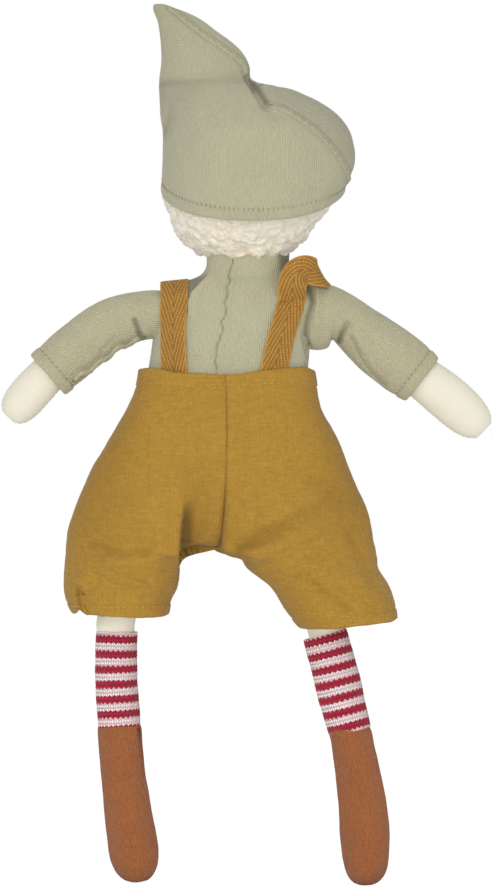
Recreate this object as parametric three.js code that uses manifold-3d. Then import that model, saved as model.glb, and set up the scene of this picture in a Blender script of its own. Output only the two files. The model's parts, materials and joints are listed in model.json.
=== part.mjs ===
// A soft sewn elf doll in sewn clothes: stuffed body, jersey shirt and pointed cap, short dungarees
// on tape braces, striped socks and brown knit boots. Millimetres, +Z up. The doll faces -Y, its own
// left is +X, and it hangs upright with both soles on Z = 0.
import * as THREE from "three";
import { mergeVertices } from "three/addons/utils/BufferGeometryUtils.js";
import Module from "manifold-3d";

const wasm = await Module();
wasm.setup();

// Cloth and running fits
const gap = 0.35; // between pieces that touch
const shirtWall = 1.6;
const capWall = 1.7;
const trouserWall = 1.8;
const sockWall = 1.2;
const tapeThickness = 1.2;

// Heights, from the soles up
const bootHeight = 68;
const sockHeight = 46;
const upperLegLength = 60; // top of the sock to the hip joint
const riseHeight = 55; // hip joint to the top of the waistband
const backHeight = 54; // waistband to the neck joint
const soleCut = 0.5; // how deep the round boot is cut flat to stand on

const sockZ = bootHeight;
const sockTopZ = sockZ + sockHeight;
const hipZ = sockTopZ + upperLegLength;
const waistZ = hipZ + riseHeight;
const neckZ = waistZ + backHeight;

// Hips and trousers
const hipRadius = 24; // the rounded top of a trouser leg, about the hip joint
const crotchGap = 1.5;
const legRoom = 1.2; // how far a leg's front stands proud of its rounded top
const waistbandHeight = 8.5;
const hemHeight = 6;
const throughHem = 4; // how far the hollow of a trouser leg runs out below its hem
const trouserBulge = 0.85; // 1 is an ellipse, and less is squarer

// Shoulders
const shoulderX = { left: 33, right: -41 };
const shoulderZ = waistZ + 27.5;
const armDrop = 20; // degrees that an arm drops below its posed place
const armLift = 50; // and degrees that it lifts

// Neck and head
const neckX = -9;
const neckRadius = 12;
const neckPost = 13; // how far the neck reaches into the head
const neckPostRadius = 11;
const hairNape = { w: 18.5, d: 17.5, height: 8 }; // room in the hair round the neck
const faceWindow = { w: 25, d: 34, h: 22, y: -42, up: 24 }; // the hair is cut away there for the face
const headOverNeck = 2; // how far the head's hollow starts below the neck joint
const collarHeight = 6.5;
const collarWall = 1.5;
const capHem = { height: 30, slope: 20.5 }; // above the neck joint, and degrees down towards the back

// Point of the cap
const peakJointUp = 89; // above the neck joint
const peakNotchX = -12.6; // where the point starts beside the round crown
const peakRadius = 9.5; // half the depth of the point at its bend
const peakFlop = 60; // degrees that the point bends, forwards and back

// Tape braces
const tapeWidth = 13;
const tapeReach = 5; // how far the ends go down behind the waistband
const tapeRoom = 1; // between the shirt and the tape
const beltRoom = gap + shirtWall + tapeRoom + tapeThickness + gap; // from the body to the waistband
const beltOut = beltRoom + trouserWall;
const waist = { x: -1, w: 33.6, d: 17.5 }; // the stuffed body at the waistband

// Turned sleeve ends
const cuffLength = 4.6;

const capSteps = 4; // rings in the round end of a stuffed form

// Rings round each stuffed or sewn form: middle, height, half width and half depth
const torsoShape = [
  { x: 0, z: hipZ + 12, w: 30, d: 16 },
  { x: -0.5, z: waistZ - 16, w: 33, d: 17.5 },
  { x: waist.x, z: waistZ, w: waist.w, d: waist.d },
  { x: -2.5, z: neckZ - 41, w: 33, d: 17 },
  { x: -3.5, z: neckZ - 27, w: 32.5, d: 16 },
  { x: -3.5, z: neckZ - 15, w: 30, d: 14 },
  { x: -6, z: neckZ - 11, w: 24, d: 13 },
  { x: -9, z: neckZ - 8.5, w: 17, d: 12.2 },
];
const headShape = [
  { x: -10, z: neckZ + 4, w: 15.5, d: 14.5 },
  { x: -10, z: neckZ + 9, w: 25, d: 23 },
  { x: -11, z: neckZ + 21, w: 33, d: 30 },
  { x: -13, z: neckZ + 39, w: 35.5, d: 32 },
  { x: -14.5, z: neckZ + 56, w: 30, d: 26.5 },
  { x: -15.5, z: neckZ + 66, w: 17, d: 15 },
];
const hairShape = [
  { x: -8, z: neckZ + 2.5, w: 21.5, d: 20.5 },
  { x: -8.5, z: neckZ + 7.5, w: 29.5, d: 27.5 },
  { x: -10, z: neckZ + 16, w: 36.5, d: 33.5 },
  { x: -12, z: neckZ + 28, w: 40.4, d: 36.5 },
  { x: -14.5, z: neckZ + 45, w: 41.4, d: 37 },
  { x: -15.5, z: neckZ + 60, w: 35.5, d: 31.5 },
  { x: -16, z: neckZ + 69, w: 23, d: 20.5 },
];
const peakShape = [
  { x: 8, z: neckZ + 56, w: 20, d: 25 },
  { x: 9, z: neckZ + 68, w: 21, d: 20 },
  { x: 8.5, z: neckZ + 79, w: 20.5, d: 14 },
  { x: 9.7, z: neckZ + peakJointUp, w: 19, d: peakRadius },
  { x: 14.5, z: neckZ + 98, w: 15, d: 7 },
  { x: 21, z: neckZ + 107, w: 9.6, d: 5 },
  { x: 28.6, z: neckZ + 113, w: 3.2, d: 2.6 },
];
const seatShape = [
  { x: 1.5, z: hipZ - 2, w: 63, d: 24.5 },
  { x: 1.5, z: hipZ + 10, w: 60.5, d: 24.5 },
  { x: 1.2, z: hipZ + 23, w: 54.5, d: 24.2 },
  { x: 0.6, z: hipZ + 40, w: 45.5, d: 23.8 },
  { x: waist.x, z: waistZ - waistbandHeight, w: waist.w + beltOut, d: waist.d + beltOut },
];

// The two sides of the doll as it is posed: where each joint is, and the forms along the limb
const sides = {
  left: {
    sign: 1,
    hipOuter: 65,
    roundFrom: 44,
    skirt: [
      { x: 33, z: hipZ, w: 32, d: 24.2 },
      { x: 38.5, z: hipZ - 14, w: 30.5, d: 24.8 },
      { x: 45.5, z: hipZ - 26, w: 26, d: 25.6 },
      { x: 47, z: hipZ - 38, w: 25.3, d: 26.4 },
      { x: 48.2, z: hipZ - 50, w: 22.8, d: 27 },
    ],
    hemLean: 0,
    leg: [
      { x: 19, z: hipZ + 12, w: 12.5, d: 12 },
      { x: 22, z: hipZ - 4, w: 13.5, d: 13 },
      { x: 36, z: hipZ - 30, w: 10.5, d: 10.5 },
      { x: 46.5, z: hipZ - 48, w: 8.8, d: 8.8 },
      { x: 49, z: sockTopZ - 2, w: 8.3, d: 8.3 },
      { x: 48.3, z: sockTopZ - sockHeight / 2, w: 8.3, d: 8.3 },
      { x: 47.2, z: sockZ + gap, w: 8.4, d: 8.4 },
    ],
    boot: [
      { x: 47.1, y: 0, z: bootHeight, w: 9.3, d: 9.8 },
      { x: 46, y: 0, z: bootHeight * 0.7, w: 9.2, d: 10.3 },
      { x: 43.6, y: -1.5, z: bootHeight * 0.42, w: 9.7, d: 11.8 },
      { x: 41.6, y: -4, z: bootHeight * 0.24, w: 10.2, d: 14.5 },
      { x: 41.2, y: -5.5, z: bootHeight * 0.12, w: 9.6, d: 15.5 },
    ],
    shoulder: { x: shoulderX.left, z: shoulderZ },
    sleeve: [
      { x: shoulderX.left, z: shoulderZ, w: 11.4, d: 11.4 },
      { x: 50, z: waistZ + 23.5, w: 11.4, d: 11.2 },
      { x: 65, z: waistZ + 14, w: 11.6, d: 11 },
      { x: 79.6, z: waistZ + 2, w: 10.9, d: 10.6 },
    ],
    arm: [
      { x: shoulderX.left, z: shoulderZ, w: 9.2, d: 9.2 },
      { x: 50, z: waistZ + 23.5, w: 8.9, d: 8.8 },
      { x: 65, z: waistZ + 14, w: 8.6, d: 8.5 },
      { x: 79.6, z: waistZ + 2, w: 8, d: 7.8 },
      { x: 87, z: waistZ - 6.5, w: 8.8, d: 7.8 },
      { x: 92.3, z: waistZ - 13, w: 8.2, d: 7 },
    ],
    tape: { waistX: 22.2, topX: 21.8 },
  },
  right: {
    sign: -1,
    hipOuter: 61.5,
    roundFrom: 40,
    skirt: [
      { x: -31, z: hipZ, w: 30.2, d: 24.2 },
      { x: -35, z: hipZ - 14, w: 31, d: 24.8 },
      { x: -38.5, z: hipZ - 26, w: 29, d: 25.6 },
      { x: -46, z: hipZ - 39, w: 28, d: 26.4 },
      { x: -55.6, z: hipZ - 55, w: 21.8, d: 27 },
    ],
    hemLean: 6,
    leg: [
      { x: -19, z: hipZ + 12, w: 12.5, d: 12 },
      { x: -22, z: hipZ - 4, w: 13.5, d: 13 },
      { x: -34, z: hipZ - 30, w: 10.5, d: 10.5 },
      { x: -43, z: hipZ - 48, w: 8.8, d: 8.8 },
      { x: -46.4, z: sockTopZ - 2, w: 8.3, d: 8.3 },
      { x: -51, z: sockTopZ - sockHeight / 2, w: 8.3, d: 8.3 },
      { x: -55.6, z: sockZ + gap, w: 8.4, d: 8.4 },
    ],
    boot: [
      { x: -56, y: 0, z: bootHeight, w: 9.3, d: 9.8 },
      { x: -58.9, y: 0, z: bootHeight * 0.7, w: 9.2, d: 10.3 },
      { x: -61.9, y: -1.5, z: bootHeight * 0.42, w: 9.7, d: 11.8 },
      { x: -63.2, y: -4, z: bootHeight * 0.24, w: 10.2, d: 14.5 },
      { x: -63.8, y: -5.5, z: bootHeight * 0.12, w: 9.4, d: 15.5 },
    ],
    shoulder: { x: shoulderX.right, z: shoulderZ },
    sleeve: [
      { x: shoulderX.right, z: shoulderZ, w: 12.6, d: 12 },
      { x: -55, z: waistZ + 24, w: 13.4, d: 12 },
      { x: -71, z: waistZ + 12.5, w: 13.2, d: 11.6 },
      { x: -87.6, z: waistZ - 0.4, w: 11.8, d: 11 },
    ],
    arm: [
      { x: shoulderX.right, z: shoulderZ, w: 10, d: 10 },
      { x: -55, z: waistZ + 24, w: 10.4, d: 9.6 },
      { x: -71, z: waistZ + 12.5, w: 10.2, d: 9.2 },
      { x: -87.6, z: waistZ - 0.4, w: 9.2, d: 8.4 },
      { x: -98.5, z: waistZ - 9.5, w: 10.2, d: 8.4 },
      { x: -109.6, z: waistZ - 18.6, w: 9.4, d: 7.6 },
    ],
    tape: { waistX: -21.8, topX: -29.8 },
  },
};

// Finishes
const finishes = {
  cotton: { color: 0xe8e3d0, roughness: 0.9, metalness: 0 },
  fleece: { color: 0xddd6c1, roughness: 1, metalness: 0 },
  jersey: { color: 0xb5b192, roughness: 0.95, metalness: 0 },
  canvas: { color: 0xb38a3c, roughness: 0.9, metalness: 0 },
  tape: { color: 0xa57b40, roughness: 0.85, metalness: 0 },
  stripes: { color: 0xb05560, roughness: 0.95, metalness: 0 },
  knit: { color: 0x9b6341, roughness: 0.95, metalness: 0 },
  thread: { color: 0x4a3a30, roughness: 0.8, metalness: 0 },
};

const v = (x, y, z) => new THREE.Vector3(x, y, z);

// A closed solid for the boolean cuts, from any closed geometry
function solid(geometry) {
  const bare = geometry.clone();
  bare.deleteAttribute("normal");
  bare.deleteAttribute("uv");
  const merged = mergeVertices(bare, 1e-4);
  return new wasm.Manifold(
    new wasm.Mesh({
      numProp: 3,
      vertProperties: merged.attributes.position.array,
      triVerts: new Uint32Array(merged.index.array),
    }),
  );
}

function named(name, finish, body) {
  const data = body.getMesh();
  const geometry = new THREE.BufferGeometry();
  const points = new Float32Array(data.vertProperties);
  geometry.setAttribute("position", new THREE.BufferAttribute(points, 3));
  geometry.setIndex(new THREE.BufferAttribute(new Uint32Array(data.triVerts), 1));
  geometry.computeVertexNormals();
  const mesh = new THREE.Mesh(geometry, new THREE.MeshStandardMaterial(finishes[finish]));
  mesh.name = name;
  return mesh;
}

// A skin through rings of equal count, closed by a fan to a tip at each end. Rings turn
// right-handed about the way they advance, so the faces look outwards.
function skin(rings, startTip, endTip) {
  const count = rings[0].length;
  const points = rings.flat();
  const faces = [];
  for (let r = 0; r + 1 < rings.length; r++) {
    for (let k = 0; k < count; k++) {
      const here = r * count + k;
      const next = r * count + ((k + 1) % count);
      faces.push(here, next, next + count, here, next + count, here + count);
    }
  }
  const middleOf = (ring) =>
    ring.reduce((sum, p) => sum.add(p), new THREE.Vector3()).divideScalar(count);
  const start = points.push(startTip ?? middleOf(rings[0])) - 1;
  const end = points.push(endTip ?? middleOf(rings.at(-1))) - 1;
  const last = (rings.length - 1) * count;
  for (let k = 0; k < count; k++) {
    const next = (k + 1) % count;
    faces.push(start, next, k, end, last + k, last + next);
  }
  const geometry = new THREE.BufferGeometry().setFromPoints(points);
  geometry.setIndex(faces);
  return geometry;
}

// A ring of points: an ellipse, squarer for a bulge below 1, that leans about Y
function ring(at, w, d, lean, count, bulge) {
  const points = [];
  for (let k = 0; k < count; k++) {
    const turn = (2 * Math.PI * k) / count;
    const c = Math.cos(turn);
    const s = Math.sin(turn);
    const across = w * Math.sign(c) * Math.abs(c) ** bulge;
    const deep = d * Math.sign(s) * Math.abs(s) ** bulge;
    points.push(
      new THREE.Vector3(
        at.x + across * Math.cos(lean),
        at.y + deep,
        at.z - across * Math.sin(lean),
      ),
    );
  }
  return points;
}

// Smooth middle line and sizes through the listed rings, t from 0 to 1
function smooth(shape) {
  const line = new THREE.CatmullRomCurve3(
    shape.map((s) => new THREE.Vector3(s.x, s.y ?? 0, s.z)),
  );
  const sizes = new THREE.CatmullRomCurve3(
    shape.map((s) => new THREE.Vector3(s.w, s.d, 0)),
  );
  return (t) => {
    const size = sizes.getPoint(t);
    return { at: line.getPoint(t), way: line.getTangent(t), w: size.x, d: size.y };
  };
}

// A stuffed form through the listed rings. Rings stay level, or stand square to the middle line.
function form(shape, options = {}) {
  const { grow = 0, count = 20, steps = 12, bulge = 1, square = false, lean = 0 } = options;
  const { from = 0, to = 1, roundStart = 0, roundEnd = 0, downwards = false, past = 0 } = options;
  const sample = smooth(shape);
  const middle = (t, advance) => {
    const { at, way } = sample(t);
    return at.clone().addScaledVector(way, advance);
  };
  const place = (t, shrink, advance) => {
    const { way, w, d } = sample(t);
    const tilt = square ? Math.atan2(way.x, way.z) : THREE.MathUtils.degToRad(lean * t);
    const turned = downwards && !square ? Math.PI + tilt : tilt;
    const centre = middle(t, advance);
    return ring(centre, (w + grow) * shrink, (d + grow) * shrink, turned, count, bulge);
  };
  const startHeight = roundStart && roundStart + grow;
  const endHeight = roundEnd && roundEnd + grow;
  const rings = [];
  for (let k = 1; k < capSteps && roundStart; k++) {
    const angle = (Math.PI / 2) * (1 - k / capSteps);
    rings.push(place(from, Math.cos(angle), -startHeight * Math.sin(angle)));
  }
  for (let k = 0; k <= steps; k++) rings.push(place(from + ((to - from) * k) / steps, 1, 0));
  for (let k = 1; k < capSteps && roundEnd; k++) {
    const angle = ((Math.PI / 2) * k) / capSteps;
    rings.push(place(to, Math.cos(angle), endHeight * Math.sin(angle)));
  }
  if (past) rings.push(place(to, 1, past));
  return solid(skin(rings, middle(from, -startHeight), middle(to, endHeight + past)));
}

// Plain tools for the cuts
function block(low, high) {
  const size = new THREE.Vector3().subVectors(high, low);
  const middle = new THREE.Vector3().addVectors(low, high).divideScalar(2);
  const box = new THREE.BoxGeometry(size.x, size.y, size.z);
  return box.translate(middle.x, middle.y, middle.z);
}
function ball(x, z, radius, count = 16) {
  return solid(new THREE.SphereGeometry(radius, count, count / 2).translate(x, 0, z));
}
function upright(x, lowZ, highZ, w, d, count = 20) {
  const post = new THREE.CylinderGeometry(1, 1, highZ - lowZ, count).rotateX(Math.PI / 2);
  return solid(post.scale(w, d, 1).translate(x, 0, (lowZ + highZ) / 2));
}
function across(lowX, highX, z, radius, count = 20) {
  const bar = new THREE.CylinderGeometry(radius, radius, highX - lowX, count);
  return solid(bar.rotateZ(Math.PI / 2).translate((lowX + highX) / 2, 0, z));
}
function aboutShoulder(body, side, degrees) {
  const { x, z } = side.shoulder;
  return body.translate([-x, 0, -z]).rotate([0, degrees, 0]).translate([x, 0, z]);
}
const far = 400; // past everything, for cuts that run out of the doll

// The rounded top of a trouser leg, turned about the hip
function trouserTop(side, grow) {
  const inner = crotchGap / 2 - grow;
  const outer = side.hipOuter + grow;
  const radius = hipRadius + grow;
  const profile = [new THREE.Vector2(0, inner), new THREE.Vector2(radius, inner)];
  const roundSteps = 5;
  for (let k = 0; k < roundSteps; k++) {
    const angle = (Math.PI / 2) * (k / roundSteps);
    const along = side.roundFrom + (outer - side.roundFrom) * Math.sin(angle);
    profile.push(new THREE.Vector2(radius * Math.cos(angle), along));
  }
  profile.push(new THREE.Vector2(0, outer));
  const top = new THREE.LatheGeometry(profile, 24).rotateZ((-side.sign * Math.PI) / 2);
  return solid(top.translate(0, 0, hipZ));
}

// The whole leg of the trousers, down to a share of its skirt
function trouserForm(side, grow, from = 0, to = 1, past = 0) {
  const skirt = form(side.skirt, {
    ...{ grow, from, to, past, count: 20, steps: to > from + 0.5 ? 6 : 1 },
    ...{ bulge: trouserBulge, lean: side.hemLean, downwards: true },
  });
  const edge = side.sign * (crotchGap / 2 - grow);
  const beyond = side.sign > 0 ? [-far, edge] : [edge, far];
  const otherSide = solid(block(v(beyond[0], -far, 0), v(beyond[1], far, far)));
  const kept = skirt.subtract(otherSide);
  return from > 0 ? kept : kept.add(trouserTop(side, grow));
}

// Where the shirt's outside lies: its half depth at a place across and up, and 0 outside it
const torsoBulge = 0.8;
const torsoLine = smooth(torsoShape);
function shirtDepth(x, z) {
  let low = 0;
  let high = 1;
  if (z > torsoShape.at(-1).z) return 0;
  for (let k = 0; k < 30; k++) {
    const t = (low + high) / 2;
    if (torsoLine(t).at.z < z) low = t;
    else high = t;
  }
  const { at, w, d } = torsoLine(low);
  const share = Math.abs(x - at.x) / (w + gap + shirtWall);
  if (share >= 1) return 0;
  return (d + gap + shirtWall) * (1 - share ** (2 / torsoBulge)) ** (torsoBulge / 2);
}

// The round root of a sleeve: its half depth at a place across and up
function rootDepth(side, x, z) {
  const radius = side.sleeve[0].w + gap;
  const square = radius ** 2 - (x - side.shoulder.x) ** 2 - (z - side.shoulder.z) ** 2;
  return Math.sqrt(Math.max(square, 0));
}

// How far the shirt or the sleeve's root reaches from a middle point in its side view, along a direction
function shirtReach(side, x, z, back, up) {
  let low = 0;
  let high = 60;
  for (let k = 0; k < 30; k++) {
    const reach = (low + high) / 2;
    const height = z + reach * up;
    const depth = Math.max(shirtDepth(x, height), rootDepth(side, x, height));
    if (depth > reach * back) low = reach;
    else high = reach;
  }
  return low;
}

// A tape brace: up the back, over the shoulder and down the front, lying on the shirt
function brace(side) {
  const columns = 5;
  const rises = 4;
  const turns = 8;
  const turnZ = neckZ - 27;
  const startZ = waistZ - tapeReach;
  const back = [];
  for (let k = 0; k < rises; k++) back.push({ z: startZ + ((turnZ - startZ) * k) / rises, angle: 0 });
  for (let k = 0; k <= turns; k++) back.push({ z: turnZ, angle: (Math.PI / 2) * (k / turns) });
  const front = back.slice(0, -1).reverse();
  const stations = [
    ...back.map((s) => ({ ...s, sign: 1 })),
    ...front.map((s) => ({ ...s, sign: -1 })),
  ];
  const rings = stations.map(({ z, angle, sign }, index) => {
    const rise = 1 - Math.abs(index - back.length + 1) / (back.length - 1);
    const middleX = side.tape.waistX + (side.tape.topX - side.tape.waistX) * rise;
    const under = [];
    const over = [];
    for (let c = 0; c < columns; c++) {
      const x = middleX + tapeWidth * (c / (columns - 1) - 0.5);
      const reach = shirtReach(side, x, z, Math.cos(angle), Math.sin(angle)) + tapeRoom;
      const place = (r) => v(x, sign * r * Math.cos(angle), z + r * Math.sin(angle));
      under.push(place(reach));
      over.unshift(place(reach + tapeThickness));
    }
    return [...under, ...over];
  });
  return solid(skin(rings));
}

// Forms that several pieces share
const torsoForm = (grow) => form(torsoShape, { grow, count: 20, steps: 10, bulge: torsoBulge });
const headForm = (grow) => form(headShape, { grow, count: 18, steps: 7, roundEnd: 3.5 });
const hairForm = (grow) => form(hairShape, { grow, count: 20, steps: 8, roundEnd: 4.5 });
const peakForm = (grow) => form(peakShape, { grow, count: 16, steps: 9, roundEnd: 2 });
const sleeveEnd = (side) => 1 - cuffLength / lengthOf(side.sleeve);
const hemStart = (side) => 1 - hemHeight / lengthOf(side.skirt);
function lengthOf(shape) {
  return new THREE.CatmullRomCurve3(shape.map((s) => v(s.x, s.y ?? 0, s.z))).getLength();
}
function sleeveForm(side, grow, from, to) {
  const steps = to > from + 0.5 ? 6 : 1;
  return form(side.sleeve, { grow, from, to, square: true, count: 16, steps });
}
function armForm(side, grow) {
  const arm = form(side.arm, { grow, square: true, count: 14, steps: 8, roundEnd: 7.5 });
  return arm.add(ball(side.shoulder.x, side.shoulder.z, side.arm[0].w + grow));
}
function legForm(side, grow) {
  const capHeight = hipRadius - trouserWall - gap - (side.leg[0].z - hipZ);
  const options = { grow, count: 14, steps: 8, roundStart: capHeight, downwards: true };
  return form(side.leg, options);
}

// Stuffed body, cut clear of the arms and of the trouser legs as they turn
const hipRoom = [];
const armRoom = [];
for (const side of Object.values(sides)) {
  const { x, z } = side.shoulder;
  const inner = side.sign > 0 ? [-crotchGap, far] : [-far, crotchGap];
  const lap = block(v(inner[0], -far, 0), v(inner[1], 0, hipZ + hipRadius + legRoom + gap));
  hipRoom.push(trouserTop(side, gap), solid(lap));
  armRoom.push(ball(x, z, side.sleeve[0].w + gap));
  for (const drop of [armDrop, 0, -armLift])
    armRoom.push(aboutShoulder(sleeveForm(side, gap, 0, 1), side, side.sign * drop));
}
const without = (body, cuts) => cuts.reduce((left, cut) => left.subtract(cut), body);
const slab = (lowZ, highZ) => solid(block(v(-far, -far, lowZ), v(far, far, highZ)));
const neckBall = ball(neckX, neckZ, neckRadius);
const neckPostForm = upright(neckX, neckZ, neckZ + neckPost, neckPostRadius, neckPostRadius);
const neckSocket = ball(neckX, neckZ, neckRadius + gap);

const torso = without(torsoForm(0), [...hipRoom, ...armRoom, neckSocket]);
const shirtHem = hipZ + hipRadius + legRoom + 6;
const shirtShell = torsoForm(gap + shirtWall).subtract(torsoForm(gap));
const shirtBody = without(shirtShell, [...armRoom, neckSocket, slab(-far, shirtHem)]);
const collarZ = torsoShape.at(-1).z + gap;
const collarTube = (radius, past) =>
  upright(neckX, collarZ - past, collarZ + collarHeight + past, radius, radius);
const collarRadius = neckRadius + gap;
const shirtCollar = collarTube(collarRadius + collarWall, 0).subtract(collarTube(collarRadius, 1));

// Head with its fleece hair
const neckHole = neckPostRadius + gap;
const face = { x: -11.5, z: neckZ + 26 };
const headNeckRoom = neckSocket.add(
  upright(neckX, neckZ - headOverNeck, neckZ + neckPost + gap, neckHole, neckHole),
);
const head = headForm(0).subtract(headNeckRoom);
const window = new THREE.SphereGeometry(1, 16, 10).scale(faceWindow.w, faceWindow.d, faceWindow.h);
const hair = without(hairForm(0), [
  headForm(gap),
  upright(neckX, neckZ - hairNape.height, neckZ + hairNape.height, hairNape.w, hairNape.d),
  solid(window.translate(face.x, faceWindow.y, neckZ + faceWindow.up)),
]);

// Pointed cap: round crown and bent point
const peakZ = neckZ + peakJointUp;
const hemSlope = THREE.MathUtils.degToRad(-capHem.slope);
const belowHem = block(v(-far, -far, -far), v(far, far, 0)).rotateX(hemSlope);
const cap = hairForm(gap + capWall).add(peakForm(0));
const pointRoom = (room) =>
  across(peakNotchX - room, far, peakZ, peakRadius + room).add(
    solid(block(v(peakNotchX - room, -far, peakZ), v(far, far, far))),
  );
const bentPoint = (degrees) =>
  peakForm(gap)
    .intersect(solid(block(v(-far, -far, peakZ), v(far, far, far))))
    .translate([0, 0, -peakZ])
    .rotate([degrees, 0, 0])
    .translate([0, 0, peakZ]);
const hatCrown = without(cap, [
  hairForm(gap),
  solid(belowHem.translate(0, 0, neckZ + capHem.height)),
  pointRoom(gap),
  bentPoint(peakFlop),
  bentPoint(-peakFlop),
]);
const hatPeak = peakForm(0).intersect(pointRoom(0));

// Trousers
const waistbandZ = waistZ - waistbandHeight;
const seatForm = (grow) => form(seatShape, { grow, count: 24, steps: 6, bulge: trouserBulge });
const trouserSeat = without(seatForm(0), [
  seatForm(-trouserWall),
  ...hipRoom,
  slab(waistbandZ - gap, far),
]);
const waistband = torsoForm(beltRoom + trouserWall)
  .subtract(torsoForm(beltRoom))
  .intersect(slab(waistbandZ, waistZ));

// The pieces, grouped as they move
const group = (parent, ...pieces) => {
  const body = new THREE.Group();
  body.add(...pieces);
  parent.add(body);
  return body;
};
const doll = new THREE.Group();
const neckBody = group(doll, named("neck", "cotton", neckBall.add(neckPostForm)));
const headBody = group(neckBody, named("head", "cotton", head), named("hair", "fleece", hair));
headBody.add(named("hat_crown", "jersey", hatCrown));
group(headBody, named("hat_peak", "jersey", hatPeak));
doll.add(
  named("torso", "cotton", torso),
  named("shirt_body", "jersey", shirtBody),
  named("shirt_collar", "jersey", shirtCollar),
  named("trouser_seat", "canvas", trouserSeat),
  named("waistband", "canvas", waistband),
);

// Small embroidered face, resting on the head
function onFace(x, z, radius, deep) {
  let y = 0;
  const sample = smooth(headShape);
  for (let t = 0; t <= 1; t += 0.005) {
    const { at, w, d } = sample(t);
    if (Math.abs(at.z - z) < 0.4) y = -d * Math.sqrt(1 - ((x - at.x) / w) ** 2);
  }
  const bead = new THREE.SphereGeometry(radius, 8, 6).scale(1, deep, 1).translate(x, y - gap, z);
  return solid(bead).subtract(headForm(gap));
}
for (const side of [-1, 1]) {
  const name = side > 0 ? "eye_left" : "eye_right";
  headBody.add(named(name, "thread", onFace(face.x + side * 11, face.z + 2, 1.8, 0.7)));
}
headBody.add(named("nose", "thread", onFace(face.x, face.z - 5, 1.5, 0.8)));
headBody.add(named("mouth", "thread", onFace(face.x, face.z - 12, 2.2, 0.5)));

for (const [name, side] of Object.entries(sides)) {
  const leg = legForm(side, 0);
  const sockOuter = legForm(side, gap + sockWall).intersect(slab(sockZ + gap, sockTopZ));
  const hemT = hemStart(side);
  const hemGap = gap / lengthOf(side.skirt);
  const hollow = trouserForm(side, -trouserWall, 0, 1, throughHem);
  const bootForm = form(side.boot, {
    ...{ count: 14, steps: 8, downwards: true },
    roundEnd: side.boot.at(-1).z + soleCut,
  });
  group(
    doll,
    named("leg_" + name, "cotton", leg),
    named("sock_" + name, "stripes", sockOuter.subtract(legForm(side, gap))),
    named("boot_" + name, "knit", bootForm.subtract(slab(-far, 0))),
    named("trouser_leg_" + name, "canvas", trouserForm(side, 0, 0, hemT - hemGap).subtract(hollow)),
    named("trouser_hem_" + name, "canvas", trouserForm(side, gap, hemT, 1).subtract(hollow)),
  );
  const armRoomInside = armForm(side, gap);
  const cuffT = sleeveEnd(side);
  const sleeveGap = gap / lengthOf(side.sleeve);
  const root = ball(side.shoulder.x, side.shoulder.z, side.sleeve[0].w);
  const sleeve = sleeveForm(side, 0, 0, cuffT - sleeveGap).add(root).subtract(armRoomInside);
  group(
    doll,
    named("arm_" + name, "cotton", armForm(side, 0)),
    named("sleeve_" + name, "jersey", sleeve),
    named("cuff_" + name, "jersey", sleeveForm(side, gap, cuffT, 1).subtract(armRoomInside)),
  );
  doll.add(named("strap_" + name, "tape", brace(side)));
}

// The origin is the middle of the doll's box, on the surface that it stands on
const box = new THREE.Box3().setFromObject(doll);
const middle = box.getCenter(new THREE.Vector3());
doll.position.set(-middle.x, -middle.y, -box.min.z);

export default doll;
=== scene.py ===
"""A soft sewn elf doll, seen from behind: jersey shirt and pointed cap, short dungarees on tape
braces, striped socks and brown knit boots. Metres, +Z up. The doll faces -Y."""

import json
from math import atan2, cos, pi, radians, sin

import bmesh
import bpy
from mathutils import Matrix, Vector, noise
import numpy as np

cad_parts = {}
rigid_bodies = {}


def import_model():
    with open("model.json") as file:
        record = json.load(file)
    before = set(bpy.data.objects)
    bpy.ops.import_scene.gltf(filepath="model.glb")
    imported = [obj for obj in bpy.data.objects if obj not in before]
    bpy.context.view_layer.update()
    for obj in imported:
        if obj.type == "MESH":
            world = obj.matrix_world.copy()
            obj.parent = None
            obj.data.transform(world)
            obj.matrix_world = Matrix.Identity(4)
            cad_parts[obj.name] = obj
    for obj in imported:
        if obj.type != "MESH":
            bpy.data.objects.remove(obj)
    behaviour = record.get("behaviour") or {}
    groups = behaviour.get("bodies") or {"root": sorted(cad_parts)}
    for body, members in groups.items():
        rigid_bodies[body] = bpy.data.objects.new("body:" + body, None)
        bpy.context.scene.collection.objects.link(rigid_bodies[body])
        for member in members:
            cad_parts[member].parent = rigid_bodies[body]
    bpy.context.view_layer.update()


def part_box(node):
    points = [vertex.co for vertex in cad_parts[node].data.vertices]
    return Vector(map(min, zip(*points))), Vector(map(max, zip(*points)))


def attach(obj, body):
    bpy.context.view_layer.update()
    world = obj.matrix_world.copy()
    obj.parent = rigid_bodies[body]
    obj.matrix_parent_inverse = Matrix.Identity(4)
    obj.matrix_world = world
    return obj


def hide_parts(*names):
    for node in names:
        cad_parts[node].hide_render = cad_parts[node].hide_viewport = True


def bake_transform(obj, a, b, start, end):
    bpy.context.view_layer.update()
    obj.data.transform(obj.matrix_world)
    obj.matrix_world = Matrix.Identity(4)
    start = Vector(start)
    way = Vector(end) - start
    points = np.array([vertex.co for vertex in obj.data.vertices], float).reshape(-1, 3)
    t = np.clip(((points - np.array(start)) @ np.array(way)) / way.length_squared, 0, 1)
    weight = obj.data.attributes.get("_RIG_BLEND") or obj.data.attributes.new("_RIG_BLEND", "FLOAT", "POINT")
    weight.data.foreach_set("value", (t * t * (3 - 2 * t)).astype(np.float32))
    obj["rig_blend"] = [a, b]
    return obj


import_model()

bl_info = {
    "name": "Sewn elf doll",
    "version": (1, 0, 0),
    "blender": (4, 5, 0),
    "location": "View3D > Sidebar > Doll",
    "description": "Makes a soft sewn elf doll piece by piece",
    "category": "Add Mesh",
}

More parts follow.
